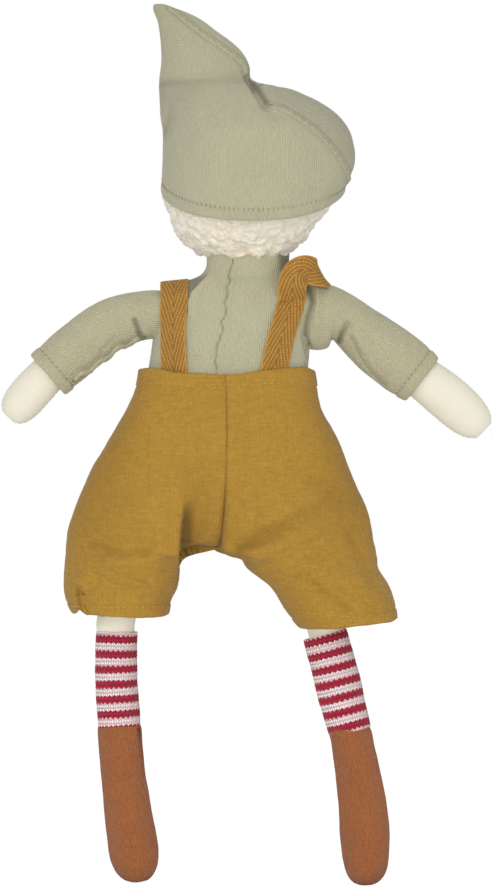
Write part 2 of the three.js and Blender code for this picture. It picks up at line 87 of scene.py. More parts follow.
MM = 0.001
PIXEL = 0.45  # millimetres to one pixel of the photograph
PHOTO_TALL = 888
CAMERA_AWAY = 2.6
KNIT_COLUMNS = 26  # stitches round a sock
KNIT_ROW = 0.00173  # height of one row of the sock's stitches
CAP_WALE = 0.00115
SHIRT_WALE = 0.00105
TAPE_HALF = 0.00055  # half the thickness of the braces

# The doll's own middle line, which the shapes below are given from, in millimetres
NECK_LOW, NECK_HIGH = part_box("neck")
NECK_X = -9.0
MIDDLE_X = (NECK_LOW.x + NECK_HIGH.x) / 2 / MM - NECK_X
MIDDLE_Y = (NECK_LOW.y + NECK_HIGH.y) / 2 / MM


def place(x, y, z):
    """A point of the doll, in millimetres from its middle line, as a point of the frame."""
    return Vector(((x + MIDDLE_X) * MM, (y + MIDDLE_Y) * MM, z * MM))


# Settings


class DollSizes(bpy.types.PropertyGroup):
    """Sizes that a maker would change"""

    tape_width: bpy.props.FloatProperty(
        name="Tape width", description="Width of the braces", default=0.013, unit="LENGTH"
    )
    stripe: bpy.props.FloatProperty(
        name="Stripe pitch", description="One red and one white stripe", default=0.00672, unit="LENGTH"
    )
    curl: bpy.props.FloatProperty(
        name="Curl height", description="How far the fleece curls stand up", default=0.0019, unit="LENGTH"
    )


def tint(name, description, colour):
    """A colour setting."""
    return bpy.props.FloatVectorProperty(
        name=name, description=description, subtype="COLOR", size=3, min=0, max=1, default=colour
    )


class DollColours(bpy.types.PropertyGroup):
    """Colours of the cloths"""

    cap: tint("Cap", "Jersey of the pointed cap", (0.440, 0.420, 0.278))
    shirt: tint("Shirt", "Jersey of the shirt", (0.463, 0.442, 0.293))
    canvas: tint("Dungarees", "Woven cotton of the dungarees", (0.385, 0.214, 0.029))
    tape: tint("Braces", "Herringbone tape", (0.456, 0.229, 0.042))
    cotton: tint("Skin", "Plain cotton of the hands, legs and head", (0.800, 0.760, 0.620))
    fleece: tint("Hair", "Curly fleece", (0.820, 0.775, 0.650))
    knit: tint("Boots", "Brown knit", (0.332, 0.112, 0.036))
    red: tint("Red stripe", "Red wool", (0.465, 0.010, 0.040))
    white: tint("White stripe", "White wool", (0.930, 0.800, 0.800))
    thread: tint("Thread", "Dark thread of the face and topstitches", (0.060, 0.045, 0.030))


def toned(colour, *gains):
    """A colour times one gain, or times one for each of red, green and blue."""
    gains = gains * 3 if len(gains) == 1 else gains
    return tuple(c * k for c, k in zip(colour, gains))


def sizes():
    return bpy.context.scene.doll_sizes


def colours():
    return bpy.context.scene.doll_colours


# Finishes


class Wire:
    """One value in a finish. An expression on wires adds the Math nodes for it."""

    def __init__(self, finish, socket):
        self.finish = finish
        self.socket = socket

    def maths(self, operation, *values):
        return self.finish.node("ShaderNodeMath", {"operation": operation}, [self, *values])

    def __add__(self, other):
        return self.maths("ADD", other)

    __radd__ = __add__

    def __sub__(self, other):
        return self.maths("SUBTRACT", other)

    def __rsub__(self, other):
        return self.finish.node("ShaderNodeMath", {"operation": "SUBTRACT"}, [other, self])

    def __mul__(self, other):
        return self.maths("MULTIPLY", other)

    __rmul__ = __mul__

    def __truediv__(self, other):
        return self.maths("DIVIDE", other)

    def sine(self):
        return self.maths("SINE")

    def size(self):
        return self.maths("ABSOLUTE")

    def part(self):
        return self.maths("FRACT")

    def step(self, low, high):
        """0 below low, 1 above high, and a soft turn between them."""
        settings = {"interpolation_type": "SMOOTHSTEP"}
        values = {"Value": self, "From Min": low, "From Max": high}
        return self.finish.node("ShaderNodeMapRange", settings, values)


class Finish:
    """A material and its nodes."""

    def __init__(self, name, roughness, sheen=0.0):
        self.material = bpy.data.materials.new(name)
        self.material.use_nodes = True
        self.tree = self.material.node_tree
        self.shader = self.tree.nodes["Principled BSDF"]
        self.shader.inputs["Roughness"].default_value = roughness
        self.shader.inputs["Specular IOR Level"].default_value = 0.25
        self.shader.inputs["Sheen Weight"].default_value = sheen
        self.shader.inputs["Sheen Roughness"].default_value = 0.6

    def node(self, kind, settings=None, values=(), output=0):
        """Adds a node with its settings and input values, and returns one of its outputs."""
        made = self.tree.nodes.new(kind)
        for key, value in (settings or {}).items():
            setattr(made, key, value)
        pairs = values.items() if isinstance(values, dict) else enumerate(values)
        for key, value in pairs:
            self.set(made.inputs[key], value)
        return Wire(self, made.outputs[output])

    def set(self, socket, value):
        if isinstance(value, Wire):
            self.tree.links.new(value.socket, socket)
        elif hasattr(value, "__len__") and len(value) == 3 and socket.type == "RGBA":
            socket.default_value = (*value, 1)
        else:
            socket.default_value = value

    def mix(self, share, first, second):
        """One colour that turns into another."""
        settings = {"data_type": "RGBA", "clamp_factor": True}
        return self.node("ShaderNodeMix", settings, {0: share, 6: first, 7: second}, 2)

    def shade(self, colour, amount):
        """A colour times a grey amount."""
        grey = self.node("ShaderNodeCombineXYZ", None, [amount, amount, amount])
        settings = {"data_type": "RGBA", "blend_type": "MULTIPLY"}
        return self.node("ShaderNodeMix", settings, {0: 1.0, 6: colour, 7: grey}, 2)

    def spots(self, pitch, detail=2.0, stretch=(1, 1, 1), roughness=0.5):
        """Soft noise about the middle value 0.5, with spots of a size in metres."""
        where = self.node("ShaderNodeTexCoord", None, (), "Object")
        if stretch != (1, 1, 1):
            where = self.node("ShaderNodeMapping", None, {"Vector": where, "Scale": stretch})
        values = {"Vector": where, "Scale": 1 / pitch, "Detail": detail, "Roughness": roughness}
        return self.node("ShaderNodeTexNoise", None, values, 0)

    def along(self):
        """The piece's own pattern places: turn round it from 0 to 1, and length along it in metres."""
        where = self.node("ShaderNodeUVMap", {"uv_map": "pattern"})
        turn = self.node("ShaderNodeSeparateXYZ", None, [where], "X")
        length = self.node("ShaderNodeSeparateXYZ", None, [where], "Y")
        return turn, length

    def flat(self):
        """Places on the flat cloth, in metres: round the piece from the middle of its back, and along it."""
        where = self.node("ShaderNodeUVMap", {"uv_map": "cloth"})
        turn = self.node("ShaderNodeSeparateXYZ", None, [where], "X")
        length = self.node("ShaderNodeSeparateXYZ", None, [where], "Y")
        return turn, length

    def mark(self, name):
        """A mark from 0 to 1 that the piece carries at its points."""
        return self.node("ShaderNodeAttribute", {"attribute_name": name}, (), "Fac")

    def bump(self, height, distance, strength=1.0):
        """Relief of a real height in metres."""
        values = {"Height": height, "Distance": distance, "Strength": strength}
        self.set(self.shader.inputs["Normal"], self.node("ShaderNodeBump", None, values))

    def colour(self, value):
        self.set(self.shader.inputs["Base Color"], value)


FINISHES = {}


def finish(name):
    """One of the doll's finishes, made when it is first asked for."""
    if name not in FINISHES:
        FINISHES[name] = MAKERS[name]().material
    return FINISHES[name]


def jersey(name, tone, wales, courses=0.0011):
    """Fine jersey with wales along the piece, heathered yarn, soft fuzz and painted shade in its creases."""
    cloth = Finish(name, 0.95, 0.25)
    turn, length = cloth.flat()
    wale = (turn * (2 * pi / wales) + cloth.spots(0.012) * 2.5).sine()
    course = (length * (2 * pi / courses) + cloth.spots(0.01) * 3.0).sine()
    heather = cloth.spots(0.0011, 3.0) - 0.5
    patch = cloth.spots(0.022, 2.0) - 0.5
    light = wale * 0.06 + course * 0.008 + heather * 0.34 + patch * 0.14 + 1.0
    shaded = cloth.shade(tone, light)
    # Marked places are painted down to 0.42 of the tone: painted shade in folds, creases and shadowed places.
    painted_shade = cloth.mark("painted_shade")
    cloth.colour(cloth.mix(painted_shade, shaded, cloth.shade(tone, 0.42)))
    cloth.bump(wale * 0.6 + course * 0.08 + heather * 1.2, 0.0002)
    return cloth


def canvas_finish():
    """Plain woven cotton with crossing threads of uneven thickness, and painted shade in its folds and
    creases.
    """
    cloth = Finish("woven cotton", 0.9, 0.08)
    weft = cloth.spots(0.0009, 2.0, (0.2, 0.2, 1)) - 0.5
    warp = cloth.spots(0.0009, 2.0, (1, 1, 0.2)) - 0.5
    slub = cloth.spots(0.0014, 2.0, (0.2, 0.2, 1)) - 0.5
    grain = cloth.spots(0.0009, 2.0) - 0.5
    patch = cloth.spots(0.02, 3.0) - 0.5
    light = weft * 0.4 + warp * 0.34 + slub * 0.1 + grain * 0.36 + patch * 0.1 + 1.0
    tone = cloth.shade(tuple(colours().canvas), light)
    # Marked places are painted down to 0.4 of the tone: painted shade.
    painted_shade = cloth.mark("painted_shade")
    cloth.colour(cloth.mix(painted_shade, tone, cloth.shade(tuple(colours().canvas), 0.4)))
    cloth.bump(weft + warp + grain * 0.7, 0.0003)
    return cloth


def tape_finish():
    """Herringbone tape: slanting ribs of thick yarn that meet on a middle spine."""
    cloth = Finish("herringbone tape", 0.88, 0.05)
    across, length = cloth.along()
    fromspine = (across - 0.5).size() * 2.0
    slant = fromspine * 0.02
    rib = ((length + slant) * (2 * pi / 0.0050) + cloth.spots(0.003) * 2.2).sine()
    cord = rib.step(-0.75, 0.35)
    knot = ((length - slant * 0.12) * (2 * pi / 0.00135) + cloth.spots(0.002) * 4.0).sine().step(-1.3, 0.9)
    spine = 1.0 - fromspine.step(0.02, 0.1)
    edge = fromspine.step(0.84, 0.95)
    woven = 1.0 - edge
    fuzz = cloth.spots(0.0007, 2.0) - 0.5
    relief = (cord * 0.24 + cord * knot * 0.34 - spine * 0.1 - 0.3) * woven
    light = relief + fuzz * 0.5 + 1.02 + edge * 0.04
    dye = cloth.spots(0.005, 2.0)
    low, high = (toned(colours().tape, k) for k in (0.85, 1.15))
    cloth.colour(cloth.shade(cloth.mix(dye, low, high), light))
    cloth.bump(relief * 2.0 + fuzz * 0.4, 0.0005)
    return cloth


def cotton_finish(name, gain):
    """Plain smooth cotton, drawn tight over the stuffing."""
    cloth = Finish(name, 0.85, 0.2)
    weave = cloth.spots(0.0006, 2.0) - 0.5
    patch = cloth.spots(0.014, 2.0) - 0.5
    light = weave * 0.06 + patch * 0.07 + 1.0
    # Marked places, along the grooves of the sewn seams, are painted down to 0.66 of the tone: painted shade.
    seam = cloth.mark("painted_shade")
    plain = toned(colours().cotton, gain)
    cloth.colour(cloth.mix(seam, cloth.shade(plain, light), cloth.shade(plain, 0.66)))
    cloth.bump(weave + patch * 1.5, 0.00015)
    return cloth


def fleece_finish():
    """Curly fleece: loose pale curls with painted shade between them."""
    cloth = Finish("curly fleece", 1.0, 0.5)
    curl = cloth.spots(0.0034, 3.0, (1, 1, 1), 0.6) - 0.5
    strand = cloth.spots(0.0011, 3.0, (1.0, 1.0, 0.3), 0.6) - 0.5
    # The mark is painted shade: in the hollows between the curls and under the hair's lower edge.
    depth = cloth.mark("painted_shade")
    light = curl * 0.42 + strand * 0.46 + 1.02
    tone = cloth.shade(tuple(colours().fleece), light)
    shadow = cloth.shade((0.80, 0.69, 0.50), light)
    cloth.colour(cloth.mix(depth, tone, shadow))
    cloth.bump(curl * 1.2 + strand * 1.0, 0.0008)
    return cloth


def knitted(cloth, columns, rows):
    """Places in a plain knit: the height of its stitches, each a small V."""
    turn, length = cloth.along()
    column = (turn * float(columns) + cloth.spots(0.006) * 0.25).part()
    leg = (column - 0.5).size() * 2.0
    row = (length / rows + leg * 0.55 + cloth.spots(0.008) * 0.3).part()
    yarn = 1.0 - (row - 0.5).size() * 2.0
    split = leg.step(0.03, 0.3) * (1.0 - leg.step(0.8, 1.0))
    return yarn.step(0.1, 0.75) * split, turn, length


def stripes_finish(name, start):
    """Red and white wool in turn, in a plain knit. start is where the first stripe begins."""
    cloth = Finish(name, 0.95, 0.1)
    height, turn, length = knitted(cloth, KNIT_COLUMNS, KNIT_ROW)
    zigzag = ((turn * float(KNIT_COLUMNS)).part() - 0.5).size() * 0.0017
    share = ((length + zigzag + cloth.spots(0.005) * 0.0008 + start) / sizes().stripe).part()
    red = share.step(0.43, 0.5) * (1.0 - share.step(0.93, 1.0))
    wool = cloth.spots(0.0006, 2.0) - 0.5
    light = height * 0.34 + wool * 0.5 + 0.92
    # Wool lower in the knit, between the stitches' legs, is painted darker, white and red alike: painted
    # shade.
    pale = cloth.mix(height, toned(colours().white, 0.86, 0.72, 0.74), tuple(colours().white))
    strong = cloth.mix(height, toned(colours().red, 0.7), tuple(colours().red))
    cloth.colour(cloth.shade(cloth.mix(red, pale, strong), light))
    cloth.bump(height + wool * 0.4, 0.0005)
    return cloth


def boot_finish():
    """Fine brown knit with wales down the boot."""
    cloth = Finish("brown knit", 0.95, 0.1)
    turn, length = cloth.flat()
    wale = (turn * (2 * pi / 0.00115) + cloth.spots(0.006) * 5.0).sine()
    course = (length * (2 * pi / 0.0013) + cloth.spots(0.006) * 5.0).sine()
    wool = cloth.spots(0.0011, 3.0, (1, 1, 0.5)) - 0.5
    patch = cloth.spots(0.013, 2.0) - 0.5
    light = wale * 0.06 + course * 0.05 + wool * 0.6 + patch * 0.14 + 1.0
    tone = cloth.shade(tuple(colours().knit), light)
    # Marked places, in the slit down the boot, are painted down to 0.4 of the tone: painted shade.
    cloth.colour(cloth.mix(cloth.mark("painted_shade"), tone, cloth.shade(tuple(colours().knit), 0.4)))
    cloth.bump(wale * 0.6 + course * 0.2 + wool * 0.7, 0.0002)
    return cloth


def thread_finish(name, tone):
    """Twisted sewing thread."""
    cloth = Finish(name, 0.7)
    twist = cloth.spots(0.0004, 1.0) - 0.5
    cloth.colour(cloth.shade(tone, twist * 0.5 + 1.0))
    cloth.bump(twist, 0.0001)
    return cloth


MAKERS = {
    "cap": lambda: jersey("cap jersey", tuple(colours().cap), CAP_WALE),
    "shirt": lambda: jersey("shirt jersey", tuple(colours().shirt), SHIRT_WALE),
    "sleeve": lambda: jersey("sleeve jersey", toned(colours().shirt, 0.99, 0.96, 0.92), SHIRT_WALE),
    "canvas": canvas_finish,
    "tape": tape_finish,
    "cotton": lambda: cotton_finish("plain cotton", 0.98),
    # The legs' cotton is 1.2 times as bright as the hands' 0.98: painted light where the dungaree hems shade
    # the legs.
    "painted-light leg cotton": lambda: cotton_finish("painted-light leg cotton", 1.2),
    "fleece": fleece_finish,
    "stripes": lambda: stripes_finish("striped wool knit", 0.0008),
    "stripes right": lambda: stripes_finish("striped wool knit right", 0.0022),
    "knit": boot_finish,
    "thread": lambda: thread_finish("dark thread", tuple(colours().thread)),
    "shirt thread": lambda: thread_finish("shirt thread", toned(colours().shirt, 0.5)),
    "seam": lambda: thread_finish("shirt seam", toned(colours().shirt, 0.4)),
    "canvas thread": lambda: thread_finish("dungaree thread", (0.56, 0.36, 0.09)),
    "canvas seam": lambda: thread_finish("dungaree seam", toned(colours().canvas, 0.42)),
    "mouth thread": lambda: thread_finish("rose thread", (0.45, 0.16, 0.12)),
}


# Making pieces


def clear():
    """Leaves edit mode and deselects everything."""
    if bpy.context.object and bpy.context.object.mode != "OBJECT":
        bpy.ops.object.mode_set(mode="OBJECT")
    bpy.ops.object.select_all(action="DESELECT")


def pick(piece):
    """Makes one piece the selected, active one."""
    clear()
    piece.select_set(True)
    bpy.context.view_layer.objects.active = piece


def modify(piece, kind, **settings):
    """Adds a modifier, sets it and applies it."""
    pick(piece)
    made = piece.modifiers.new(kind, kind)
    for key, value in settings.items():
        setattr(made, key, value)
    bpy.ops.object.modifier_apply(modifier=made.name)


def refine(piece, levels=1):
    """Rounds a piece with subdivision."""
    modify(piece, "SUBSURF", levels=levels, render_levels=levels)


def smooth(piece):
    pick(piece)
    bpy.ops.object.shade_smooth()


def curve_at(rows, t):
    """A smooth run through rows of numbers, at t from 0 to 1."""
    last = len(rows) - 1
    at = min(max(t, 0.0), 1.0) * last
    n = min(int(at), last - 1)
    s = at - n
    before = rows[max(n - 1, 0)]
    here, after = rows[n], rows[n + 1]
    later = rows[min(n + 2, last)]
    out = []
    for a, b, c, d in zip(before, here, after, later):
        out.append(
            0.5 * (2 * b + (c - a) * s + (2 * a - 5 * b + 4 * c - d) * s**2 + (3 * b - a - 3 * c + d) * s**3)
        )
    return out


def ring_points(row, count, bulge=1.0):
    """Points round one ring: x, y, z, half width, half depth and lean in degrees, all in millimetres."""
    x, y, z, w, d, lean = row
    points = []
    for k in range(count):
        turn = 2 * pi * k / count
        c, s = cos(turn), sin(turn)
        across = w * (abs(c) ** bulge) * (1 if c > 0 else -1)
        deep = d * (abs(s) ** bulge) * (1 if s > 0 else -1)
        a = radians(lean)
        points.append(place(x + across * cos(a), y + deep, z - across * sin(a)))
    return points


def tube(name, rows, count=24, steps=None, bulge=1.0, close="both", ring=None):
    """A form through the listed rings: a circle is added, extruded ring by ring and closed.

    close names the ends that are closed: both, start, end or none. ring may give a ring's points.
    """
    steps = steps or len(rows) - 1
    clear()
    bpy.ops.mesh.primitive_circle_add(vertices=count, radius=MM, location=(0, 0, 0))
    piece = bpy.context.object
    piece.name = name
    piece.data.name = name
    bpy.ops.object.mode_set(mode="EDIT")
    bpy.ops.mesh.select_all(action="SELECT")
    mesh = bmesh.from_edit_mesh(piece.data)
    for layer in ("turn", "length", "round", "girth"):
        mesh.verts.layers.float.new(layer)
    turn_layer = mesh.verts.layers.float["turn"]
    mesh.verts.ensure_lookup_table()
    for k, vert in enumerate(mesh.verts):
        vert[turn_layer] = k / count
    run = 0.0
    before = None
    for n in range(steps + 1):
        if n:
            bpy.ops.mesh.extrude_region_move()
        mesh = bmesh.from_edit_mesh(piece.data)
        layers = mesh.verts.layers.float
        row = curve_at(rows, n / steps)
        middle = place(row[0], row[1], row[2])
        run += (middle - before).length if before is not None else 0.0
        before = middle
        points = ring(row, count) if ring else ring_points(row, count, bulge)
        sides = [(points[(k + 1) % count] - points[k]).length for k in range(count)]
        girth = sum(sides)
        back = sum(sides[: count // 4])
        for vert in mesh.verts:
            if vert.select:
                k = round(vert[layers["turn"]] * count) % count
                vert.co = points[k]
                vert[layers["length"]] = run
                vert[layers["girth"]] = girth
                vert[layers["round"]] = (sum(sides[:k]) - back + girth / 2) % girth
    bmesh.update_edit_mesh(piece.data)
    bpy.ops.object.mode_set(mode="OBJECT")
    pattern(piece)
    for which, row in (("start", rows[0]), ("end", rows[-1])):
        if close in (which, "both"):
            fill_end(piece, 0.0 if which == "start" else run)
    outward(piece)
    return piece


def pattern(piece):
    """Gives the piece its maps: turns and lengths, and the flat cloth in metres."""
    data = piece.data
    values = {n: [v.value for v in data.attributes[n].data] for n in ("turn", "length", "round", "girth")}
    for name, across, whole in (("pattern", "turn", None), ("cloth", "round", "girth")):
        layer = data.uv_layers.get(name) or data.uv_layers.new(name=name)
        for face in data.polygons:
            verts = [data.loops[n].vertex_index for n in face.loop_indices]
            corner = [values[across][v] for v in verts]
            full = [values[whole][v] if whole else 1.0 for v in verts]
            wraps = max(corner) - min(corner) > 0.5 * max(full)
            for n, v, at, one in zip(face.loop_indices, verts, corner, full):
                over = one if wraps and at < 0.5 * one else 0.0
                layer.data[n].uv = (at + over - (one / 2 if whole else 0), values["length"][v])


def fill_end(piece, run):
    """Closes the open end at a length along the piece."""
    pick(piece)
    bpy.ops.object.mode_set(mode="EDIT")
    bpy.ops.mesh.select_all(action="DESELECT")
    mesh = bmesh.from_edit_mesh(piece.data)
    layer = mesh.verts.layers.float["length"]
    for edge in mesh.edges:
        if edge.is_boundary and all(abs(v[layer] - run) < 1e-7 for v in edge.verts):
            edge.select = True
    mesh.select_flush(True)
    bmesh.update_edit_mesh(piece.data)
    bpy.ops.mesh.edge_face_add()
    bpy.ops.object.mode_set(mode="OBJECT")


def outward(piece):
    """Turns all faces outwards."""
    pick(piece)
    bpy.ops.object.mode_set(mode="EDIT")
    bpy.ops.mesh.select_all(action="SELECT")
    bpy.ops.mesh.normals_make_consistent(inside=False)
    bpy.ops.object.mode_set(mode="OBJECT")


def flip(piece):
    """Turns all faces over, for an open cloth whose inside was taken for its outside."""
    pick(piece)
    bpy.ops.object.mode_set(mode="EDIT")
    bpy.ops.mesh.select_all(action="SELECT")
    bpy.ops.mesh.flip_normals()
    bpy.ops.object.mode_set(mode="OBJECT")


def leaning(rows):
    """Rings along a limb, each stood square to the limb's own run."""
    out = []
    for n, (x, y, z, w, d) in enumerate(rows):
        a, b = rows[max(n - 1, 0)], rows[min(n + 1, len(rows) - 1)]
        lean = atan2(b[0] - a[0], b[2] - a[2]) * 180 / pi
        if out:
            lean += 360 * round((out[-1][5] - lean) / 360)
        out.append((x, y, z, w, d, lean))
    return out


def sculpt(piece, move):
    """Moves each point of a piece by a function of its place and normal, in millimetres of the doll."""
    data = piece.data
    normals = [v.normal.copy() for v in data.vertices]
    for vert, normal in zip(data.vertices, normals):
        here = Vector((vert.co.x / MM - MIDDLE_X, vert.co.y / MM - MIDDLE_Y, vert.co.z / MM))
        vert.co += Vector(move(here, normal)) * MM
    data.update()


def marks(piece, amount, name="painted_shade"):
    """Writes a mark from 0 to 1 at each point of a piece; under its default name it is how much painted shade
    the piece's colour takes there.
    """
    layer = piece.data.attributes.get(name) or piece.data.attributes.new(name, "FLOAT", "POINT")
    values = []
    for vert in piece.data.vertices:
        here = Vector((vert.co.x / MM - MIDDLE_X, vert.co.y / MM - MIDDLE_Y, vert.co.z / MM))
        values.append(min(max(amount(here), 0.0), 1.0))
    layer.data.foreach_set("value", values)


def bell(distance, width):
    """1 at no distance, and gone past a width."""
    t = min(abs(distance) / width, 1.0)
    return (1 - t * t) ** 2


def ease(value, low, high):
    t = min(max((value - low) / (high - low), 0.0), 1.0)
    return t * t * (3 - 2 * t)


def to_line(x, z, points):
    """Distance from a point to a run of points in the x-z plane, and the share along it."""
    best, share = 1e9, 0.0
    for n in range(len(points) - 1):
        (ax, az), (bx, bz) = points[n], points[n + 1]
        dx, dz = bx - ax, bz - az
        t = ((x - ax) * dx + (z - az) * dz) / max(dx * dx + dz * dz, 1e-9)
        t = min(max(t, 0.0), 1.0)
        gap = ((x - ax - t * dx) ** 2 + (z - az - t * dz) ** 2) ** 0.5
        if gap < best:
            best, share = gap, (n + t) / (len(points) - 1)
    return best, share


def folds(x, z, lines):
    """What the listed lines add up to at a place. Each has points, height, width and how far it fades."""
    total = 0.0
    for points, height, width, fade in lines:
        gap, share = to_line(x, z, points)
        total += height * bell(gap, width) * (1 - fade * share)
    return total


def wobble(here, pitch, seed=0.0):
    """Smooth seeded unevenness from -1 to 1."""
    return noise.noise(Vector((here[0] / pitch + seed, here[1] / pitch - seed, here[2] / pitch + 2 * seed)))


def dress(piece, material, slot, *nodes):
    """Gives a piece its finish and smooth shading, and hides the solids that it stands for; slot is not used.
    """
    piece.data.materials.clear()
    piece.data.materials.append(finish(material))
    smooth(piece)
    if nodes:
        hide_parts(*nodes)
    return piece


def finish_points(piece):
    """Puts an empty painted-shade mark on a piece that has none."""
    if not piece.data.attributes.get("painted_shade"):
        marks(piece, lambda here: 0.0)


def surface_of(*pieces):
    """Ways to find where a ray meets some pieces."""
    from mathutils.bvhtree import BVHTree

    graph = bpy.context.evaluated_depsgraph_get()
    return [BVHTree.FromObject(piece, graph) for piece in pieces]


def meet(trees, origin, aim):
    """The first place where a ray meets the pieces: point and normal, or None."""
    best = None
    for tree in trees:
        point, normal, _, distance = tree.ray_cast(origin, aim)
        if point is not None and (best is None or distance < best[2]):
            best = (point, normal, distance)
    return best


def stitches(name, spots, radius=0.00022, sink=0.3):
    """One mesh of sewn stitches: each spot is (start point, end point, normal)."""
    clear()
    bpy.ops.mesh.primitive_uv_sphere_add(segments=6, ring_count=5, radius=1)
    piece = bpy.context.object
    piece.name = name
    piece.data.name = name
    model = [v.co.copy() for v in piece.data.vertices]
    sides = [tuple(f.vertices) for f in piece.data.polygons]
    points, faces = [], []
    for start, end, normal in spots:
        way = (end - start) / 2
        middle = (start + end) / 2 + normal * radius * (1 - sink)
        side = way.cross(normal).normalized() * radius
        up = normal.normalized() * radius
        base = len(points)
        points += [middle + side * c.x + up * c.y + way * c.z for c in model]
        faces += [tuple(base + n for n in f) for f in sides]
    piece.data.clear_geometry()
    piece.data.from_pydata(points, [], faces)
    piece.data.update()
    outward(piece)
    return piece


def topstitch(name, trees, rays, dash, every, **look):
    """Stitches in a row along the places where the rays meet the cloth, a dash long and every so far."""
    hits = [hit for hit in (meet(trees, origin, aim) for origin, aim in rays) if hit]
    spots = []
    run, start = 0.0, None
    for n in range(1, len(hits)):
        run += (hits[n][0] - hits[n - 1][0]).length
        if start is None and run >= every - dash:
            start, run = hits[n], 0.0
        elif start is not None and run >= dash:
            spots.append((start[0], hits[n][0], (start[1] + hits[n][1]) / 2))
            start, run = None, 0.0
    return stitches(name, spots, **look)


def rays_round(row, steps, reach=60.0):
    """Rays towards the middle of a ring, from all round it."""
    a = radians(row[5])
    middle = place(*row[:3])
    rays = []
    for k in range(steps + 1):
        turn = 2 * pi * k / steps
        out = Vector((cos(turn) * cos(a), sin(turn), -cos(turn) * sin(a)))
        rays.append((middle + out * reach * MM, -out))
    return rays


def rays_along(points, step=0.3, side=1):
    """Rays at the back, or at the front with side -1, through a run of (x, height) places."""
    rays = []
    for (ax, az), (bx, bz) in zip(points, points[1:]):
        count = max(int(((bx - ax) ** 2 + (bz - az) ** 2) ** 0.5 / step), 1)
        for n in range(count):
            t = n / count
            at = place(ax + (bx - ax) * t, side * 90, az + (bz - az) * t)
            rays.append((at, Vector((0, -side, 0))))
    return rays


def ladder(name, trees, low, high, every, **look):
    """Short upright stitches between two rows of rays."""
    spots, run, last = [], 0.0, None
    for (a, aim), (b, _) in zip(low, high):
        foot, head = meet(trees, a, aim), meet(trees, b, aim)
        if not (foot and head):
            continue
        run += (foot[0] - last).length if last is not None else every
        last = foot[0]
        if run >= every:
            spots.append((foot[0], head[0], foot[1]))
            run = 0.0
    return stitches(name, spots, **look)


def turn_in(piece, run, inwards, depth):
    """Folds the open edge at a length along the piece inwards, and runs it back into the piece."""
    pick(piece)
    bpy.ops.object.mode_set(mode="EDIT")
    bpy.ops.mesh.select_all(action="DESELECT")
    mesh = bmesh.from_edit_mesh(piece.data)
    layer = mesh.verts.layers.float["length"]
    edge = [v for v in mesh.verts if v.is_boundary and abs(v[layer] - run) < 1e-7]
    for vert in edge:
        vert.select = True
    mesh.select_flush(True)
    bmesh.update_edit_mesh(piece.data)
    middle = sum((v.co for v in edge), Vector()) / len(edge)
    back = Vector()
    for vert in edge:
        for link in vert.link_edges:
            other = link.other_vert(vert)
            if not other.select:
                back += other.co - vert.co
    back.normalize()
    for share, rise in ((0.55, -0.25), (1.0, 0.35), (1.0, 1.0)):
        bpy.ops.mesh.extrude_region_move()
        mesh = bmesh.from_edit_mesh(piece.data)
        moved = [v for v in mesh.verts if v.select]
        for vert, start in zip(moved, [v.co.copy() for v in moved]):
            out = start - middle
            flat = out - back * out.dot(back)
            if rise < 0:
                shift = -flat.normalized() * inwards * share * MM + back * rise * 1.6 * MM
            elif rise < 0.5:
                shift = -flat.normalized() * inwards * (1 - 0.55) * MM + back * 0.8 * MM
            else:
                shift = back * depth * MM
            vert.co = start + shift
    bmesh.update_edit_mesh(piece.data)
    bpy.ops.object.mode_set(mode="OBJECT")


def stuff(piece, most=1.1, pressure=4.0):
    """Blows the stuffing into a sewn form with a short cloth simulation, and keeps it near its shape."""
    pick(piece)
    before = [v.co.copy() for v in piece.data.vertices]
    scene = bpy.context.scene
    cloth = piece.modifiers.new("stuffing", "CLOTH")
    cloth.settings.use_pressure = True
    cloth.settings.uniform_pressure_force = pressure
    cloth.settings.effector_weights.gravity = 0
    cloth.point_cache.frame_start = 1
    cloth.point_cache.frame_end = 20
    for step in range(1, 21):
        scene.frame_set(step)
    bpy.ops.object.modifier_apply(modifier=cloth.name)
    for vert, start in zip(piece.data.vertices, before):
        way = vert.co - start
        if way.length > most * MM:
            vert.co = start + way.normalized() * most * MM
    scene.frame_set(1)


# Shapes, in millimetres


# x of the middle, y, height, half width, half depth, lean
HAT = [
    (-12.1, 0, 313.0, 40.6, 38.6, 0),
    (-13.2, 0, 317.0, 41.9, 39.4, 0),
    (-14.9, 0, 323.0, 43.4, 39.8, 0),
    (-15.4, 0, 329.0, 43.6, 39.8, 0),
    (-14.9, 0, 335.0, 43.1, 39.2, 0),
    (-13.8, 0, 340.5, 42.2, 37.8, 0),
    (-10.9, 0, 347.0, 40.3, 34.0, 0),
    (-6.8, 0, 352.6, 36.6, 30.2, 0),
    (-2.3, 0, 356.6, 32.2, 27.0, 0),
    (1.1, 0, 359.2, 28.9, 24.8, 0),
    (5.6, 0, 360.7, 24.3, 23.2, 0),
    (8.7, 0, 362.6, 21.1, 21.7, 0),
    (9.3, 0, 365.2, 20.3, 20.2, 0),
    (9.1, 0, 368.2, 20.1, 18.7, 0),
    (9.6, 0, 371.9, 19.2, 16.8, 0),
    (11.1, 0, 376.2, 17.7, 14.5, 0),
    (13.6, 0, 380.7, 15.4, 12.0, 0),
    (17.1, 0, 385.2, 12.6, 9.7, 0),
    (20.5, 0, 389.7, 10.1, 7.3, 0),
    (24.9, 0, 393.3, 7.3, 5.2, 0),
    (28.0, 0, 395.8, 4.6, 3.4, 0),
    (29.6, 0, 397.2, 2.3, 1.9, 0),
]
HAT_SLOPE = 20.5
